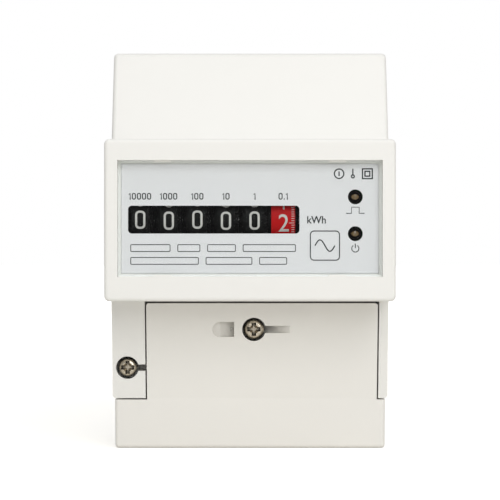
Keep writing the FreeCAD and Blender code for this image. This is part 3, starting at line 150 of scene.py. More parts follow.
def group_with(name, inputs, outputs):
    group = bpy.data.node_groups.new(name, "ShaderNodeTree")
    for label, kind, value in inputs:
        socket = group.interface.new_socket(label, in_out="INPUT", socket_type=kind)
        socket.default_value = value
    for label, kind in outputs:
        group.interface.new_socket(label, in_out="OUTPUT", socket_type=kind)
    entry = group.nodes.new("NodeGroupInput")
    leave = group.nodes.new("NodeGroupOutput")
    return group, entry, leave


def add_node(tree, kind, settings=None, **values):
    """A node with its sockets set: plain values are written, sockets are linked."""
    node = tree.nodes.new(kind)
    for name, value in (settings or {}).items():
        setattr(node, name, value)
    for name, value in values.items():
        socket = node.inputs[name.replace("_", " ")]
        if isinstance(value, bpy.types.NodeSocket):
            tree.links.new(value, socket)
        else:
            socket.default_value = value
    return node


def calculate(tree, operation, *values, vector=False):
    """The outcome of a Math or Vector Math node, its sockets linked or set in their order."""
    node = add_node(tree, "ShaderNodeVectorMath" if vector else "ShaderNodeMath", {"operation": operation})
    for socket, value in zip(node.inputs, values):
        if isinstance(value, bpy.types.NodeSocket):
            tree.links.new(value, socket)
        else:
            socket.default_value = value
    return node.outputs["Vector" if vector and operation != "LENGTH" else "Value"]


def range_node(tree, value, low, high, start, end):
    """A smooth change from start to end while the value goes from low to high."""
    change = add_node(tree, "ShaderNodeMapRange", {"interpolation_type": "SMOOTHSTEP"}, Value=value)
    for label, limit in (("From Min", low), ("From Max", high), ("To Min", start), ("To Max", end)):
        change.inputs[label].default_value = limit
    return change.outputs["Result"]


def reach_from(tree, centre=(0, 0, 0), scale=(1, 1, 1)):
    """How far a point of the surface lies from a centre, with its own scale along each axis."""
    place = add_node(tree, "ShaderNodeTexCoord")
    offset = calculate(tree, "SUBTRACT", place.outputs["Object"], centre, vector=True)
    scaled = calculate(tree, "MULTIPLY", offset, scale, vector=True)
    return calculate(tree, "LENGTH", scaled, vector=True)


def object_noise(tree, scale, detail, stretch=(1, 1, 1)):
    place = add_node(tree, "ShaderNodeTexCoord")
    mapping = add_node(tree, "ShaderNodeMapping", Vector=place.outputs["Object"], Scale=stretch)
    return add_node(tree, "ShaderNodeTexNoise", Vector=mapping.outputs["Vector"], Scale=scale, Detail=detail)


def moulding_group():
    """Moulded plastic: a fine spark-eroded grain and a faint cloudiness of the colour."""
    group, entry, leave = group_with("Moulded surface", [
        ("Colour", "NodeSocketColor", (0.8, 0.8, 0.8, 1)),
        ("Clouding", "NodeSocketFloat", 0.02),
        ("Roughness", "NodeSocketFloat", 0.45),
        ("Grain depth", "NodeSocketFloat", 0.1),
    ], [("Colour", "NodeSocketColor"), ("Roughness", "NodeSocketFloat"), ("Normal", "NodeSocketVector")])
    clouds = object_noise(group, 45, 3)
    dark = calculate(group, "MULTIPLY", clouds.outputs["Fac"], entry.outputs["Clouding"])
    shade = add_node(group, "ShaderNodeMix", {"data_type": "RGBA", "blend_type": "MULTIPLY"}, Factor=dark)
    group.links.new(entry.outputs["Colour"], shade.inputs["A"])
    shade.inputs["B"].default_value = (0.35, 0.33, 0.3, 1)
    grain = object_noise(group, 2600, 4)
    rough = calculate(group, "MULTIPLY_ADD", grain.outputs["Fac"], 0.08, entry.outputs["Roughness"])
    bump = add_node(group, "ShaderNodeBump", Distance=0.00004, Height=grain.outputs["Fac"],
                    Strength=entry.outputs["Grain depth"])
    group.links.new(shade.outputs["Result"], leave.inputs["Colour"])
    group.links.new(rough, leave.inputs["Roughness"])
    group.links.new(bump.outputs["Normal"], leave.inputs["Normal"])
    return group


def metal_group():
    """Turned, drawn or plated metal: fine streaks along one direction, a slight tarnish, painted shade in
    corners and recesses.
    """
    group, entry, leave = group_with("Worked metal", [
        ("Colour", "NodeSocketColor", (0.6, 0.6, 0.6, 1)),
        ("Stretch", "NodeSocketVector", (1, 1, 1)),
        ("Roughness", "NodeSocketFloat", 0.3),
        ("Tarnish", "NodeSocketFloat", 0.2),
        ("Grime", "NodeSocketFloat", 0.0),
    ], [("Colour", "NodeSocketColor"), ("Roughness", "NodeSocketFloat"), ("Normal", "NodeSocketVector")])
    place = add_node(group, "ShaderNodeTexCoord")
    mapping = add_node(group, "ShaderNodeMapping", Vector=place.outputs["Object"],
                       Scale=entry.outputs["Stretch"])
    streaks = add_node(group, "ShaderNodeTexNoise", Vector=mapping.outputs["Vector"], Scale=1600, Detail=3)
    clouds = object_noise(group, 600, 4)
    amount = calculate(group, "MULTIPLY", clouds.outputs["Fac"], entry.outputs["Tarnish"])
    shade = add_node(group, "ShaderNodeMix", {"data_type": "RGBA", "blend_type": "MULTIPLY"}, Factor=amount)
    group.links.new(entry.outputs["Colour"], shade.inputs["A"])
    shade.inputs["B"].default_value = (0.3, 0.26, 0.2, 1)
    # Painted shade: corners and recesses that ambient occlusion finds are darkened nearly to black, by the
    # amount of the group's shading input.
    corner = add_node(group, "ShaderNodeAmbientOcclusion", {"samples": 8}, Distance=0.0015)
    hidden = range_node(group, corner.outputs["AO"], 0.3, 0.8, 1.0, 0.0)
    shade_amount = calculate(group, "MULTIPLY", hidden, entry.outputs["Grime"])
    shaded = add_node(group, "ShaderNodeMix", {"data_type": "RGBA"}, Factor=shade_amount)
    group.links.new(shade.outputs["Result"], shaded.inputs["A"])
    shaded.inputs["B"].default_value = (0.02, 0.017, 0.013, 1)
    rough = calculate(group, "MULTIPLY_ADD", streaks.outputs["Fac"], 0.18, entry.outputs["Roughness"])
    bump = add_node(group, "ShaderNodeBump", Distance=0.00002, Height=streaks.outputs["Fac"], Strength=0.25)
    group.links.new(shaded.outputs["Result"], leave.inputs["Colour"])
    group.links.new(rough, leave.inputs["Roughness"])
    group.links.new(bump.outputs["Normal"], leave.inputs["Normal"])
    return group


GROUPS = {}


def shared(name):
    """Each shared group is built once, the first time that a material asks for it."""
    makers = {"moulding": moulding_group, "metal": metal_group}
    if name not in GROUPS:
        GROUPS[name] = makers[name]()
    return GROUPS[name]


# Materials

def rgba(value):
    return (*value, 1)


def start_material(name):
    made = bpy.data.materials.new(name)
    made.use_nodes = True
    return made, made.node_tree, made.node_tree.nodes["Principled BSDF"]


def surface(name, kind, tint, **values):
    """A material whose colour, roughness and normal come from a shared group."""
    made, tree, shader = start_material(name)
    effect = tree.nodes.new("ShaderNodeGroup")
    effect.node_tree = shared(kind)
    effect.inputs["Colour"].default_value = rgba(tint)
    for label, value in values.items():
        effect.inputs[label.replace("_", " ")].default_value = value
    tree.links.new(effect.outputs["Colour"], shader.inputs["Base Color"])
    tree.links.new(effect.outputs["Roughness"], shader.inputs["Roughness"])
    tree.links.new(effect.outputs["Normal"], shader.inputs["Normal"])
    return made, shader


def plastic(name, tint, clouding=0.03, roughness=0.4, grain=0.12, gloss=0.5, coat=0.0):
    made, shader = surface(name, "moulding", tint, Clouding=clouding, Roughness=roughness, Grain_depth=grain)
    shader.inputs["Specular IOR Level"].default_value = gloss
    shader.inputs["Coat Weight"].default_value = coat
    shader.inputs["Coat Roughness"].default_value = 0.08
    return made


def metal(name, tint, stretch=(1, 1, 1), roughness=0.25, tarnish=0.2, painted_shade=0.0):
    made, shader = surface(name, "metal", tint, Stretch=stretch, Roughness=roughness, Tarnish=tarnish,
                           Grime=painted_shade)
    shader.inputs["Metallic"].default_value = 1
    return made


def dress(material, *names):
    for name in names:
        NODES[name].material_slots[0].material = material


# Modelling

def deselect():
    if bpy.context.mode != "OBJECT":
        bpy.ops.object.mode_set(mode="OBJECT")
    bpy.ops.object.select_all(action="DESELECT")


def only(*pieces):
    deselect()
    for piece in pieces:
        piece.select_set(True)
    bpy.context.view_layer.objects.active = pieces[0]
    return pieces[0]


def join(pieces):
    only(*pieces)
    if len(pieces) > 1:
        bpy.ops.object.join()
    return bpy.context.object


def settle(piece):
    """Put the piece's place, turn and size into its mesh."""
    only(piece)
    bpy.ops.object.transform_apply(location=True, rotation=True, scale=True)
    return piece


def copy_of(piece, location=(0, 0, 0), turn=0.0):
    """A copy with its own mesh, moved and turned about its X axis."""
    twin = piece.copy()
    twin.data = piece.data.copy()
    bpy.context.collection.objects.link(twin)
    twin.location = location
    twin.rotation_euler = (turn, 0, 0)
    return twin


def hand_over(piece, name, body, material):
    """Name the finished piece, give it its finish and let it ride on its body."""
    settle(piece)
    piece.name = name
    piece.data.name = name
    piece.data.materials.clear()
    piece.data.materials.append(material)
    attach(piece, body)
    return piece


def choose(piece, test, mode="EDGE"):
    """In edit mode, select the vertices, edges or faces that pass the test."""
    bpy.ops.mesh.select_mode(type=mode)
    bpy.ops.mesh.select_all(action="DESELECT")
    mesh = bmesh.from_edit_mesh(piece.data)
    group = {"VERT": mesh.verts, "EDGE": mesh.edges, "FACE": mesh.faces}[mode]
    for item in group:
        item.select_set(test(item))
    mesh.select_flush_mode()
    bmesh.update_edit_mesh(piece.data)


def along_depth(edge):
    first, second = edge.verts
    return (first.co - second.co).length > 0 and abs((first.co - second.co).normalized().y) > 0.99


def faces_depth(face):
    return abs(face.normal.y) > 0.99


def rounded_bar(width, height, corner, depth, at=(0, 0, 0), segments=6):
    """An upright plate that faces the front, with rounded corners."""
    deselect()
    bpy.ops.mesh.primitive_cube_add(size=1, location=at, scale=(width, depth, height))
    piece = settle(bpy.context.object)
    bpy.ops.object.mode_set(mode="EDIT")
    choose(piece, along_depth)
    bpy.ops.mesh.bevel(offset=corner, segments=segments, affect="EDGES")
    bpy.ops.object.mode_set(mode="OBJECT")
    return piece


def open_middle(piece, stroke):
    """Leave only a stroke round the outline of an upright plate."""
    bpy.ops.object.mode_set(mode="EDIT")
    choose(piece, faces_depth, "FACE")
    bpy.ops.mesh.inset(thickness=stroke, depth=0, use_individual=True)
    choose(piece, lambda face: faces_depth(face) and len(face.verts) > 4, "FACE")
    bpy.ops.mesh.bridge_edge_loops()
    bpy.ops.object.mode_set(mode="OBJECT")
    return piece


def rounded_ring(width, height, corner, stroke, depth, at=(0, 0, 0), segments=6):
    return open_middle(rounded_bar(width, height, corner, depth, at, segments), stroke)


def disc_plate(radius, depth, at=(0, 0, 0), vertices=32):
    deselect()
    bpy.ops.mesh.primitive_cylinder_add(radius=radius, depth=depth, vertices=vertices, location=at,
                                        rotation=(math.pi / 2, 0, 0))
    return settle(bpy.context.object)


def ring_plate(radius, stroke, depth, at=(0, 0, 0), vertices=32):
    return open_middle(disc_plate(radius, depth, at, vertices), stroke)


def edit_as_skin(piece):
    """Go into edit mode with the loose triangles of a copied node merged to one skin, all selected."""
    only(piece)
    bpy.ops.object.mode_set(mode="EDIT")
    bpy.ops.mesh.select_all(action="SELECT")
    bpy.ops.mesh.remove_doubles(threshold=0.001 * MM)


def stroke_line(points, width, depth, at=(0, 0, 0), smooth=False):
    """A printed line through points given as (across, up) in millimetres."""
    deselect()
    bpy.ops.curve.primitive_nurbs_path_add()
    piece = bpy.context.object
    piece.data.splines.clear()
    spline = piece.data.splines.new("NURBS" if smooth else "POLY")
    spline.points.add(len(points) - 1)
    for point, (across, up) in zip(spline.points, points):
        point.co = (at[0] + across * MM, at[1], at[2] + up * MM, 1)
    if smooth:
        spline.order_u = 3
        spline.use_endpoint_u = True
    piece.data.bevel_depth = width / 2
    piece.data.bevel_resolution = 1
    piece.data.use_fill_caps = True
    bpy.ops.object.convert(target="MESH")
    piece = bpy.context.object
    bpy.ops.object.mode_set(mode="EDIT")
    bpy.ops.mesh.select_all(action="SELECT")
    bpy.ops.transform.resize(value=(1, depth / width, 1), center_override=at)
    bpy.ops.object.mode_set(mode="OBJECT")
    return piece


def figures(text, height, depth, at=(0, 0, 0), width=None, weight=0.0):
    """Upright figures that face the front, centred on a point, as a solid mesh."""
    deselect()
    bpy.ops.object.text_add(location=(0, 0, 0), rotation=(math.pi / 2, 0, 0))
    piece = bpy.context.object
    piece.data.body = text
    piece.data.size = height * 1.4
    piece.data.extrude = depth / 2
    piece.data.offset = weight
    piece.data.resolution_u = 4
    bpy.ops.object.convert(target="MESH")
    piece = settle(bpy.context.object)
    bpy.ops.object.mode_set(mode="EDIT")
    bpy.ops.mesh.select_all(action="SELECT")
    bpy.ops.mesh.remove_doubles(threshold=0.000001)
    bpy.ops.mesh.normals_make_consistent(inside=False)
    corners = [Vector(corner) for corner in piece.bound_box]
    low = Vector([min(corner[axis] for corner in corners) for axis in range(3)])
    high = Vector([max(corner[axis] for corner in corners) for axis in range(3)])
    middle = (low + high) / 2
    tall = height / (high.z - low.z)
    wide = tall if width is None else width / (high.x - low.x)
    bpy.ops.transform.resize(value=(wide, 1, tall), center_override=middle)
    bpy.ops.transform.translate(value=Vector(at) - middle)
    bpy.ops.object.mode_set(mode="OBJECT")
    return piece


# Number wheels

def drum_places():
    """Centre of each drum and the radius of its face, from the CAD boxes."""
    shaft_low, shaft_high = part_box("wheel_shaft")
    axis = (shaft_low + shaft_high) / 2
    places = {}
    for name in DRUMS:
        low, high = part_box(name)
        places[name] = (low, high, (high.z - low.z) / 2)
    return axis, places


def wrap_on_drum(piece, radius, relief):
    """Keep the part of an upright piece that lies inside the drum's raised face."""
    deselect()
    bpy.ops.mesh.primitive_cylinder_add(radius=radius + relief, depth=20 * MM, vertices=180,
                                        rotation=(0, math.pi / 2, 0))
    face = settle(bpy.context.object)
    only(piece)
    keep = piece.modifiers.new("Drum face", "BOOLEAN")
    keep.operation = "INTERSECT"
    keep.object = face
    keep.solver = "EXACT"
    keep.use_self = True
    keep.use_hole_tolerant = True
    bpy.ops.object.modifier_apply(modifier=keep.name)
    bpy.data.objects.remove(face)
    return piece


def digit_set(height, width, stroke, radius, relief):
    """The ten figures, each in place on the front of a drum whose axis is the X axis."""
    depth = FIGURE_DEPTH
    corner = 0.42 * width
    at = (0, -radius, 0)
    made = []
    for number in range(10):
        if number == 0:
            piece = rounded_ring(width, height, corner, stroke, depth, at, segments=8)
        elif number == 1:
            piece = stem_and_flag(height, 0.3 * width, stroke, depth, at)
        elif number in (6, 9):
            piece = ring_and_tail(height, width, stroke, depth, at)
            piece.rotation_euler = (0, math.pi if number == 6 else 0, 0)
            settle(piece)
        else:
            piece = figures(str(number), height, depth, at, width=width, weight=0.02 * MM)
        made.append(wrap_on_drum(piece, radius, relief))
    return made


def stem_and_flag(height, reach, stroke, depth, at):
    """The figure one: an upright stem with a short flag at its top left."""
    top = height / MM / 2
    flag = reach / MM
    points = [(-flag, top - 1.2 * flag), (0, top - stroke / MM / 2), (0, -top)]
    return stroke_line(points, stroke, depth, at)


def ring_and_tail(height, width, stroke, depth, at):
    """The figure nine: a ring with a tail that curls under it."""
    upper = (at[0], at[1], at[2] + 0.2 * height)
    ring = rounded_ring(width, 0.6 * height, 0.42 * width, stroke, depth, upper)
    reach = (width - stroke) / MM / 2
    bottom = reach - (height - stroke) / MM / 2
    points = [(reach, 0.2 * height / MM)]
    points += [(reach * math.cos(turn), bottom + reach * math.sin(turn))
               for turn in (math.radians(-15 * step) for step in range(11))]
    return join([ring, stroke_line(points, stroke, depth, at)])


def spread_digits(digits, axis, across, lead, first):
    """Copies of the ten figures round one drum, the first in front and each next one below the last."""
    step = 2 * math.pi / len(digits)
    place = (across, axis.y, axis.z)
    return [copy_of(piece, place, lead + step * (number - first)) for number, piece in enumerate(digits)]


class METER_OT_number_wheels(bpy.types.Operator):
    """Figures and graduation of the number wheels"""
    bl_idname = "meter.number_wheels"
    bl_label = "Number Wheels"

    def execute(self, context):
        colours = context.scene.meter_colours
        sizes = context.scene.meter_printing
        axis, places = drum_places()
        radius = places[DRUMS[0]][2]
        black = plastic("Drum black", colours.drum, clouding=0.3, roughness=0.42, grain=0.25, gloss=0.1)
        red = plastic("Drum red", colours.last_drum, clouding=0.3, roughness=0.36, grain=0.2, gloss=0.08)
        band_only(red, colours.drum, axis, radius)
        white = plastic("Figure white", colours.digits, clouding=0.12, roughness=0.5, grain=0.2)
        dress(black, *DRUMS[:-1])
        dress(red, LAST_DRUM)
        acetal = plastic("Natural acetal", paint(222, 220, 210), roughness=0.3)
        dress(acetal, *PINIONS, "reduction_gear", "motor_pinion")
        digits = digit_set(sizes.digit_height, sizes.digit_width, sizes.stroke, radius, sizes.relief)
        small = digit_set(sizes.last_digit_height, sizes.digit_width, sizes.stroke, radius, sizes.relief)
        for name, lead in zip(DRUMS, LEADS):
            across = digit_column(places, name)
            piece = join(spread_digits(digits, axis, across, math.radians(lead), 0))
            hand_over(piece, name + "_figures", name, white)
        across = digit_column(places, LAST_DRUM)
        pieces = spread_digits(small, axis, across, LAST_LEAD, 2)
        hand_over(join(pieces), LAST_DRUM + "_figures", LAST_DRUM, white)
        marks = graduation(axis, across, radius, sizes)
        hand_over(marks, LAST_DRUM + "_graduation", LAST_DRUM, white)
        for piece in digits + small:
            bpy.data.objects.remove(piece)
        return {"FINISHED"}


def digit_column(places, name):
    """Where the figures stand on a drum: the middle of its band, or a little beside it on the last drum."""
    shift = {LAST_DRUM: 0.15 * MM}.get(name, 0)
    return band_middle(places, name) + shift


def band_middle(places, name):
    """The middle of the widest part of a drum, without the narrower gears at its sides."""
    axis = drum_places()[0]
    radius = places[name][2]
    band = [vertex.co.x for vertex in NODES[name].data.vertices
            if math.hypot(vertex.co.y - axis.y, vertex.co.z - axis.z) > radius - 0.05 * MM]
    return (min(band) + max(band)) / 2


def band_only(material, tint, axis, radius):
    """Keep a wheel's colour on its band and give the rest of the wheel the other tint."""
    tree = material.node_tree
    shader = tree.nodes["Principled BSDF"]
    reach = reach_from(tree, (0, axis.y, axis.z), (0, 1, 1))
    outside = calculate(tree, "GREATER_THAN", reach, radius - 0.08 * MM)
    mix = add_node(tree, "ShaderNodeMix", {"data_type": "RGBA"}, Factor=outside)
    mix.inputs["A"].default_value = rgba(tint)
    tree.links.new(shader.inputs["Base Color"].links[0].from_socket, mix.inputs["B"])
    tree.links.new(mix.outputs["Result"], shader.inputs["Base Color"])


def graduation(axis, across, radius, sizes):
    """A hundred short marks at the drum's right rim, every tenth longer."""
    short = wrap_on_drum(mark_bar(0.8 * MM, radius), radius, sizes.relief)
    long = wrap_on_drum(mark_bar(1.4 * MM, radius), radius, sizes.relief)
    place = (across, axis.y, axis.z)
    pieces = [
        copy_of(long if number % 10 == 0 else short, place, LAST_LEAD + 2 * math.pi * number / 100)
        for number in range(100)
    ]
    for piece in (short, long):
        bpy.data.objects.remove(piece)
    return join(pieces)


def mark_bar(width, radius):
    """One mark of the graduation, which ends right of the figures."""
    right, thickness, corner = 2.8 * MM, 0.15 * MM, 0.03 * MM
    middle = (right - width / 2, -radius, 0)
    return rounded_bar(width, thickness, corner, FIGURE_DEPTH, middle, segments=1)


# Nameplate

class METER_OT_nameplate(bpy.types.Operator):
    """Printed nameplate behind the window"""
    bl_idname = "meter.nameplate"
    bl_label = "Nameplate"

    def execute(self, context):
        colours = context.scene.meter_colours
        sizes = context.scene.meter_printing
        sheet = plastic("Nameplate sheet", colours.plate, clouding=0.02, roughness=0.5, grain=0.08)
        dress(sheet, "nameplate")
        ink = plastic("Nameplate ink", colours.ink, clouding=0.1, roughness=0.55, grain=0.05)
        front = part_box("nameplate")[0].y - sizes.ink_depth / 2
        pieces = {
            "place_values": place_values(front, sizes),
            "unit": unit_sign(front, sizes),
            "lamp_signs": lamp_signs(front, sizes),
            "protection_signs": protection_signs(front, sizes),
            "wave_box": wave_box(front, sizes),
            "blank_fields": blank_fields(front, sizes),
        }
        for name, piece in pieces.items():
            hand_over(piece, "print_" + name, CASE_BODY, ink)
        return {"FINISHED"}


def place_values(front, sizes):
    places = drum_places()[1]
    up = 6.3 * MM
    made = []
    for name, text in zip(DRUMS, PLACE_VALUES):
        made += plain_number(text, band_middle(places, name), front, up, sizes)
    return join(made)


def unit_sign(front, sizes):
    """The unit to the right of the wheels."""
    width, height = 4.9 * MM, 1.95 * MM
    at = (17.4 * MM, front, 0.15 * MM)
    return figures("kWh", height, sizes.ink_depth, at, width=width, weight=0.05 * MM)


def plain_number(text, across, front, up, sizes):
    """Noughts, ones and points in even strokes, set side by side about a point."""
    height, line, depth = sizes.value_height, sizes.line, sizes.ink_depth
    widths = {"0": 0.62 * height, "1": 0.34 * height, ".": 1.2 * line}
    gap = 0.85 * line
    left = across - (sum(widths[mark] for mark in text) + gap * (len(text) - 1)) / 2
    made = []
    for mark in text:
        middle = left + widths[mark] / 2
        if mark == "0":
            at = (middle, front, up)
            made.append(rounded_ring(widths[mark], height, 0.45 * widths[mark], line, depth, at))
        elif mark == "1":
            at = (middle + 0.2 * widths[mark], front, up)
            made.append(stem_and_flag(height, 0.6 * widths[mark], 1.25 * line, depth, at))
        else:
            at = (middle, front, up - height / 2 + widths[mark] / 2)
            made.append(disc_plate(widths[mark] / 2, depth, at))
        left += widths[mark] + gap
    return made


def lamp_signs(front, sizes):
    """A square pulse under the upper lamp and a power sign under the lower one."""
    lamp_low, lamp_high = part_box("pulse_lamp")
    across = (lamp_low.x + lamp_high.x) / 2
    pulse_up, power_up = 2.65 * MM, -7.25 * MM
    at = (across, front, pulse_up)
    pulse = stroke_line([(-2.4, -0.8), (-1, -0.8), (-1, 0.8), (1, 0.8), (1, -0.8), (2.4, -0.8)],
                        sizes.line, sizes.ink_depth, at)
    at = (across, front, power_up)
    arc = []
    start, sweep, steps, radius = 125, 290, 14, 0.95
    for step in range(steps + 1):
        angle = math.radians(start + step * sweep / steps)
        arc.append((radius * math.cos(angle), radius * math.sin(angle) - 0.1))
    ring = stroke_line(arc, sizes.line, sizes.ink_depth, at, smooth=True)
    bar = stroke_line([(0, 0), (0, 1.15)], sizes.line, sizes.ink_depth, at)
    return join([pulse, ring, bar])


def protection_signs(front, sizes):
    """A ring, a ring on a stem and a square in a square."""
    up = 12.2 * MM
    line = sizes.line * 1.2
    depth = sizes.ink_depth
    ring, stem, squares = 23.3 * MM, 26.9 * MM, 30.7 * MM
    made = [
        ring_plate(1.4 * MM, line, depth, (ring, front, up)),
        stroke_line([(0, -0.6), (0, 0.6)], line, depth, (ring, front, up)),
        stroke_line([(0, -0.2), (0, 1.3)], line, depth, (stem, front, up)),
        ring_plate(0.55 * MM, line, depth, (stem, front, up - 0.7 * MM)),
        rounded_ring(2.9 * MM, 2.9 * MM, 0.05 * MM, line, depth, (squares, front, up)),
        rounded_ring(1.6 * MM, 1.6 * MM, 0.05 * MM, line, depth, (squares, front, up)),
    ]
    return join(made)


def wave_box(front, sizes):
    """A rounded box with one turn of a sine wave."""
    at = (19.6 * MM, front, -6.6 * MM)
    side, corner = 7.9 * MM, 1.1 * MM
    box = rounded_ring(side, side, corner, sizes.line, sizes.ink_depth, at)
    length_of_wave, height_of_wave, steps = 5.2, 1.5, 24
    wave = []
    for step in range(steps + 1):
        share = step / steps
        wave.append((length_of_wave * (share - 0.5), height_of_wave * math.sin(2 * math.pi * share)))
    return join([box, stroke_line(wave, sizes.line * 1.3, sizes.ink_depth, at, smooth=True)])


def blank_fields(front, sizes):
    """Two rows of empty ruled fields."""
    rows = ((-7.25, ((-31.3, 10.5), (-19, 6), (-11.2, 7.5), (-1.9, 13.9))),
            (-10.6, ((-31.3, 17.9), (-11.6, 12.2), (2.4, 7.3))))
    height, corner, line = 2.0 * MM, 0.35 * MM, 0.75 * sizes.line
    made = []
    for up, fields in rows:
        for left, width in fields:
            at = ((left + width / 2) * MM, front, up * MM)
            made.append(rounded_ring(width * MM, height, corner, line, sizes.ink_depth, at, segments=3))
    return join(made)


# Case, window and fittings

class METER_OT_case(bpy.types.Operator):
    """Moulded case, terminal cover and rail latch"""
    bl_idname = "meter.case"
    bl_label = "Case"

    def execute(self, context):
        colours = context.scene.meter_colours
        dress(plastic("Housing plastic", colours.case, clouding=0.02, roughness=0.38), "front_case")
        dress(plastic("Base plastic", colours.base, clouding=0.02, roughness=0.4), "base_case")
        dress(plastic("Cover plastic", colours.cover, clouding=0.02, roughness=0.38), "terminal_cover")
        dress(plastic("Latch plastic", colours.latch, clouding=0.03, roughness=0.45), "din_latch")
        steel = metal("Spring steel", (0.55, 0.55, 0.55), roughness=0.2)
        dress(steel, "latch_spring")
        springy(copy_of(NODES["latch_spring"]), steel)
        return {"FINISHED"}


def springy(coil, steel):
    """A copy of the latch's spring, merged into one skin and shaded smooth, which takes the place of the
    spring.
    """
    edit_as_skin(coil)
    bpy.ops.object.mode_set(mode="OBJECT")
    bpy.ops.object.shade_smooth_by_angle(angle=math.radians(65))
    hand_over(coil, "rail_spring", CASE_BODY, steel)
    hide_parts("latch_spring")
    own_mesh(coil)


class METER_OT_window(bpy.types.Operator):
    """Clear window over the nameplate"""
    bl_idname = "meter.window"
    bl_label = "Window"

    def execute(self, context):
        made, tree, shader = start_material("Clear window")
        grain = object_noise(tree, 900, 3)
        rough = calculate(tree, "MULTIPLY", grain.outputs["Fac"], 0.04)
        tree.links.new(rough, shader.inputs["Roughness"])
        shader.inputs["Base Color"].default_value = (0.96, 0.98, 0.98, 1)
        shader.inputs["IOR"].default_value = 1.49
        shader.inputs["Specular IOR Level"].default_value = 0.15
        shader.inputs["Transmission Weight"].default_value = 1
        clear = add_node(tree, "ShaderNodeBsdfTransparent", Color=(0.98, 0.99, 0.99, 1))
        path = add_node(tree, "ShaderNodeLightPath")
        passing = calculate(tree, "MAXIMUM", path.outputs["Is Shadow Ray"], path.outputs["Is Diffuse Ray"])
        mix = add_node(tree, "ShaderNodeMixShader", Fac=passing)
        tree.links.new(shader.outputs[0], mix.inputs[1])
        tree.links.new(clear.outputs[0], mix.inputs[2])
        tree.links.new(mix.outputs[0], tree.nodes["Material Output"].inputs["Surface"])
        dress(made, "window")
        pane = draw_in(copy_of(NODES["window"]), PANE_PLAY)
        hand_over(pane, "window_pane", CASE_BODY, made)
        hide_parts("window")
        return {"FINISHED"}


def draw_in(piece, amount):
    """Make the pane smaller by an amount on each side, so that it shares no face with what it lies on."""
    low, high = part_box("window")
    shares = [1 - 2 * amount / span for span in high - low]
    edit_as_skin(piece)
    bpy.ops.transform.resize(value=shares, center_override=(low + high) / 2)
    bpy.ops.object.mode_set(mode="OBJECT")
    bpy.ops.object.shade_flat()
    return piece


class METER_OT_lamps(bpy.types.Operator):
    """Indicator lamps behind the nameplate"""
    bl_idname = "meter.lamps"
    bl_label = "Lamps"

    def execute(self, context):
        colours = context.scene.meter_colours
        for name in ("pulse_lamp", "power_lamp"):
            lens = plastic(name.replace("_", " ").capitalize(), colours.lens, clouding=0.3, roughness=0.12,
                           grain=0.02, gloss=0.3, coat=0.3)
            low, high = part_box(name)
            show_die(lens, colours.die, (low + high) / 2)
            dress(lens, name)
        return {"FINISHED"}


def show_die(material, tint, centre):
    """A soft-edged oblong patch in the middle of a lamp, as the cup of its die shows through the lens."""
    half_width, half_height = 1.05 * MM, 0.7 * MM
    tree = material.node_tree
    shader = tree.nodes["Principled BSDF"]
    reach = reach_from(tree, centre, (1 / half_width, 1, 1 / half_height))
    fade = range_node(tree, reach, 0.75, 1.15, 1.0, 0.0)
    mix = add_node(tree, "ShaderNodeMix", {"data_type": "RGBA"}, Factor=fade)
    tree.links.new(shader.inputs["Base Color"].links[0].from_socket, mix.inputs["A"])
    mix.inputs["B"].default_value = rgba(tint)
    tree.links.new(mix.outputs["Result"], shader.inputs["Base Color"])


class METER_OT_hardware(bpy.types.Operator):
    """Screws, shafts, terminals and straps"""
    bl_idname = "meter.hardware"
    bl_label = "Hardware"

    def execute(self, context):
        colours = context.scene.meter_colours
        # The sealing screws get strong painted shade in their cross recesses and round their heads.
        nickel = metal("Sealing screw nickel", colours.screws, roughness=0.2, tarnish=0.4, painted_shade=0.9)
        dress(nickel, "cover_screw", "case_screw")
        zinc = metal("Zinc plating", paint(190, 190, 192), roughness=0.3)
        dress(zinc, "terminal_screws", "pulse_screws", "power_board_screws", "display_board_screws")
        ground = metal("Ground steel", paint(188, 188, 190), stretch=(0.05, 1, 1), roughness=0.18)
        dress(ground, "wheel_shaft", "pinion_shaft", "reduction_pin", "stepper_motor")
        brass = metal("Terminal brass", paint(205, 170, 100), stretch=(1, 1, 0.1), roughness=0.28,
                      tarnish=0.35)
        dress(brass, *TERMINALS)
        copper = metal("Strap copper", paint(200, 125, 90), stretch=(0.1, 1, 1), roughness=0.3, tarnish=0.4)
        dress(copper, "current_shunt", "neutral_link")
        can = metal("Crystal can", paint(205, 205, 205), roughness=0.12)
        dress(can, "crystal")
        return {"FINISHED"}


class METER_OT_electronics(bpy.types.Operator):
    """Circuit boards, register frame and what they carry"""
    bl_idname = "meter.electronics"
    bl_label = "Electronics"

    def execute(self, context):
        colours = context.scene.meter_colours
        board = plastic("Board lacquer", colours.board, clouding=0.4, roughness=0.25, grain=0.05, coat=0.5)
        dress(board, "display_board", "power_board")
        black = plastic("Black moulding", (0.015, 0.015, 0.015), roughness=0.45)
        dress(black, "register_frame", "board_header", "metering_chip", "optocoupler")
        carrier = plastic("Filled plastic", (0.03, 0.03, 0.032), roughness=0.5, grain=0.4)
        dress(carrier, "terminal_carrier", "pulse_terminals")
        dress(plastic("Yellow shell", paint(214, 180, 40), roughness=0.3, coat=0.4), "film_capacitor")
        dress(plastic("Dark sleeve", paint(24, 28, 44), roughness=0.25, coat=0.6), "storage_capacitors")
        dress(plastic("Blue lacquer", paint(40, 84, 170), roughness=0.3, coat=0.4), "varistor")
        return {"FINISHED"}


# Studio

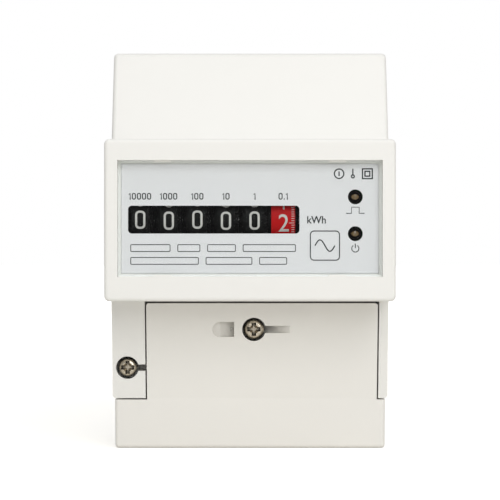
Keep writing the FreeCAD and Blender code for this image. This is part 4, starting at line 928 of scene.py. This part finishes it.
class METER_OT_stage(bpy.types.Operator):
    """Pale floor, soft light and the camera"""
    bl_idname = "meter.stage"
    bl_label = "Stage"

    def execute(self, context):
        studio = context.scene.meter_studio
        make_floor()
        make_world(context.scene, studio)
        low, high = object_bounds()
        aim = Vector((0, (low.y + high.y) / 2, (low.z + high.z) / 2))
        soft_box("Key", power=studio.key, size=0.8, place=aim + Vector((0.22, -1.1, 0.52)), aim=aim)
        soft_box("Top", power=studio.top, size=0.9, place=aim + Vector((0.15, -0.35, 1.1)), aim=aim)
        make_camera(context.scene, studio, low, high)
        context.scene.view_settings.view_transform = "Standard"
        return {"FINISHED"}


def make_floor():
    """A floor that is pale by itself and white to the camera where no shadow falls."""
    deselect()
    bpy.ops.mesh.primitive_plane_add(size=8, location=(0, 2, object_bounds()[0].z))
    floor = settle(bpy.context.object)
    floor.name = "floor"
    made, tree, shader = start_material("Pale floor")
    grain = object_noise(tree, 300, 4)
    shader.inputs["Base Color"].default_value = (0.85, 0.83, 0.78, 1)
    rough = calculate(tree, "MULTIPLY_ADD", grain.outputs["Fac"], 0.2, 0.6)
    tree.links.new(rough, shader.inputs["Roughness"])
    fade = range_node(tree, reach_from(tree), 0.1, 0.5, 0.5, 1.0)
    path = add_node(tree, "ShaderNodeLightPath")
    strength = calculate(tree, "MULTIPLY", path.outputs["Is Camera Ray"], fade)
    glow = add_node(tree, "ShaderNodeEmission", Strength=strength)
    both = add_node(tree, "ShaderNodeAddShader")
    tree.links.new(shader.outputs[0], both.inputs[0])
    tree.links.new(glow.outputs[0], both.inputs[1])
    tree.links.new(both.outputs[0], tree.nodes["Material Output"].inputs["Surface"])
    floor.data.materials.append(made)
    floor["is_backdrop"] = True


def make_world(scene, studio):
    """White to the camera, softer where it only lights, and in mirrors dark below and behind the camera."""
    world = bpy.data.worlds.new("Studio")
    scene.world = world
    world.use_nodes = True
    tree = world.node_tree
    path = add_node(tree, "ShaderNodeLightPath")
    place = add_node(tree, "ShaderNodeTexCoord")
    toward = add_node(tree, "ShaderNodeSeparateXYZ", Vector=place.outputs["Generated"])
    above = range_node(tree, toward.outputs["Z"], -0.2, 0.9, 0.12, 1.0)
    aside = range_node(tree, toward.outputs["Y"], -0.98, -0.6, 0.4, 1.0)
    mirrored = calculate(tree, "MULTIPLY", above, aside)
    soft = add_node(tree, "ShaderNodeMix", {"data_type": "FLOAT"}, Factor=path.outputs["Is Glossy Ray"],
                    A=studio.fill, B=mirrored)
    level = add_node(tree, "ShaderNodeMix", {"data_type": "FLOAT"}, Factor=path.outputs["Is Camera Ray"],
                     A=soft.outputs["Result"], B=1.0)
    shader = tree.nodes["Background"]
    shader.inputs["Color"].default_value = (1, 1, 1, 1)
    tree.links.new(level.outputs["Result"], shader.inputs["Strength"])


def soft_box(name, power, size, place, aim):
    deselect()
    bpy.ops.object.light_add(type="AREA", location=place)
    lamp = bpy.context.object
    lamp.name = name
    lamp.data.energy = power
    lamp.data.shape = "SQUARE"
    lamp.data.size = size
    lamp.rotation_euler = (aim - place).to_track_quat("-Z", "Y").to_euler()


def make_camera(scene, studio, low, high):
    """Straight on, centred on the meter's front."""
    bpy.ops.object.camera_add(location=(0, low.y - studio.distance, (low.z + high.z) / 2),
                              rotation=(math.pi / 2, 0, 0))
    camera = bpy.context.object
    camera.data.sensor_width = 36
    camera.data.lens = camera.data.sensor_width * studio.distance / studio.view_width
    camera.data.clip_start = 0.01
    scene.camera = camera


# Panel and registration

class METER_PT_looks(bpy.types.Panel):
    """Meter pieces and settings"""
    bl_idname = "METER_PT_looks"
    bl_label = "Meter"
    bl_space_type = "VIEW_3D"
    bl_region_type = "UI"
    bl_category = "Meter"

    def draw(self, context):
        for operator in OPERATORS:
            self.layout.operator(operator.bl_idname)
        for group in SETTINGS:
            settings = getattr(context.scene, group)
            box = self.layout.box()
            for name in settings.__annotations__:
                box.prop(settings, name)


OPERATORS = (
    METER_OT_case,
    METER_OT_window,
    METER_OT_nameplate,
    METER_OT_number_wheels,
    METER_OT_lamps,
    METER_OT_hardware,
    METER_OT_electronics,
    METER_OT_stage,
)
SETTINGS = {
    "meter_colours": MeterColours,
    "meter_printing": MeterPrinting,
    "meter_studio": MeterStudio,
}


def register():
    for kind in (*SETTINGS.values(), *OPERATORS, METER_PT_looks):
        bpy.utils.register_class(kind)
    for name, kind in SETTINGS.items():
        setattr(bpy.types.Scene, name, PointerProperty(type=kind))


def unregister():
    for name in SETTINGS:
        delattr(bpy.types.Scene, name)
    for kind in reversed((*SETTINGS.values(), *OPERATORS, METER_PT_looks)):
        bpy.utils.unregister_class(kind)


def main():
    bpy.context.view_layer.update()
    register()
    bpy.ops.meter.case()
    bpy.ops.meter.window()
    bpy.ops.meter.nameplate()
    bpy.ops.meter.number_wheels()
    bpy.ops.meter.lamps()
    bpy.ops.meter.hardware()
    bpy.ops.meter.electronics()
    bpy.ops.meter.stage()


if __name__ == "__main__":
    main()
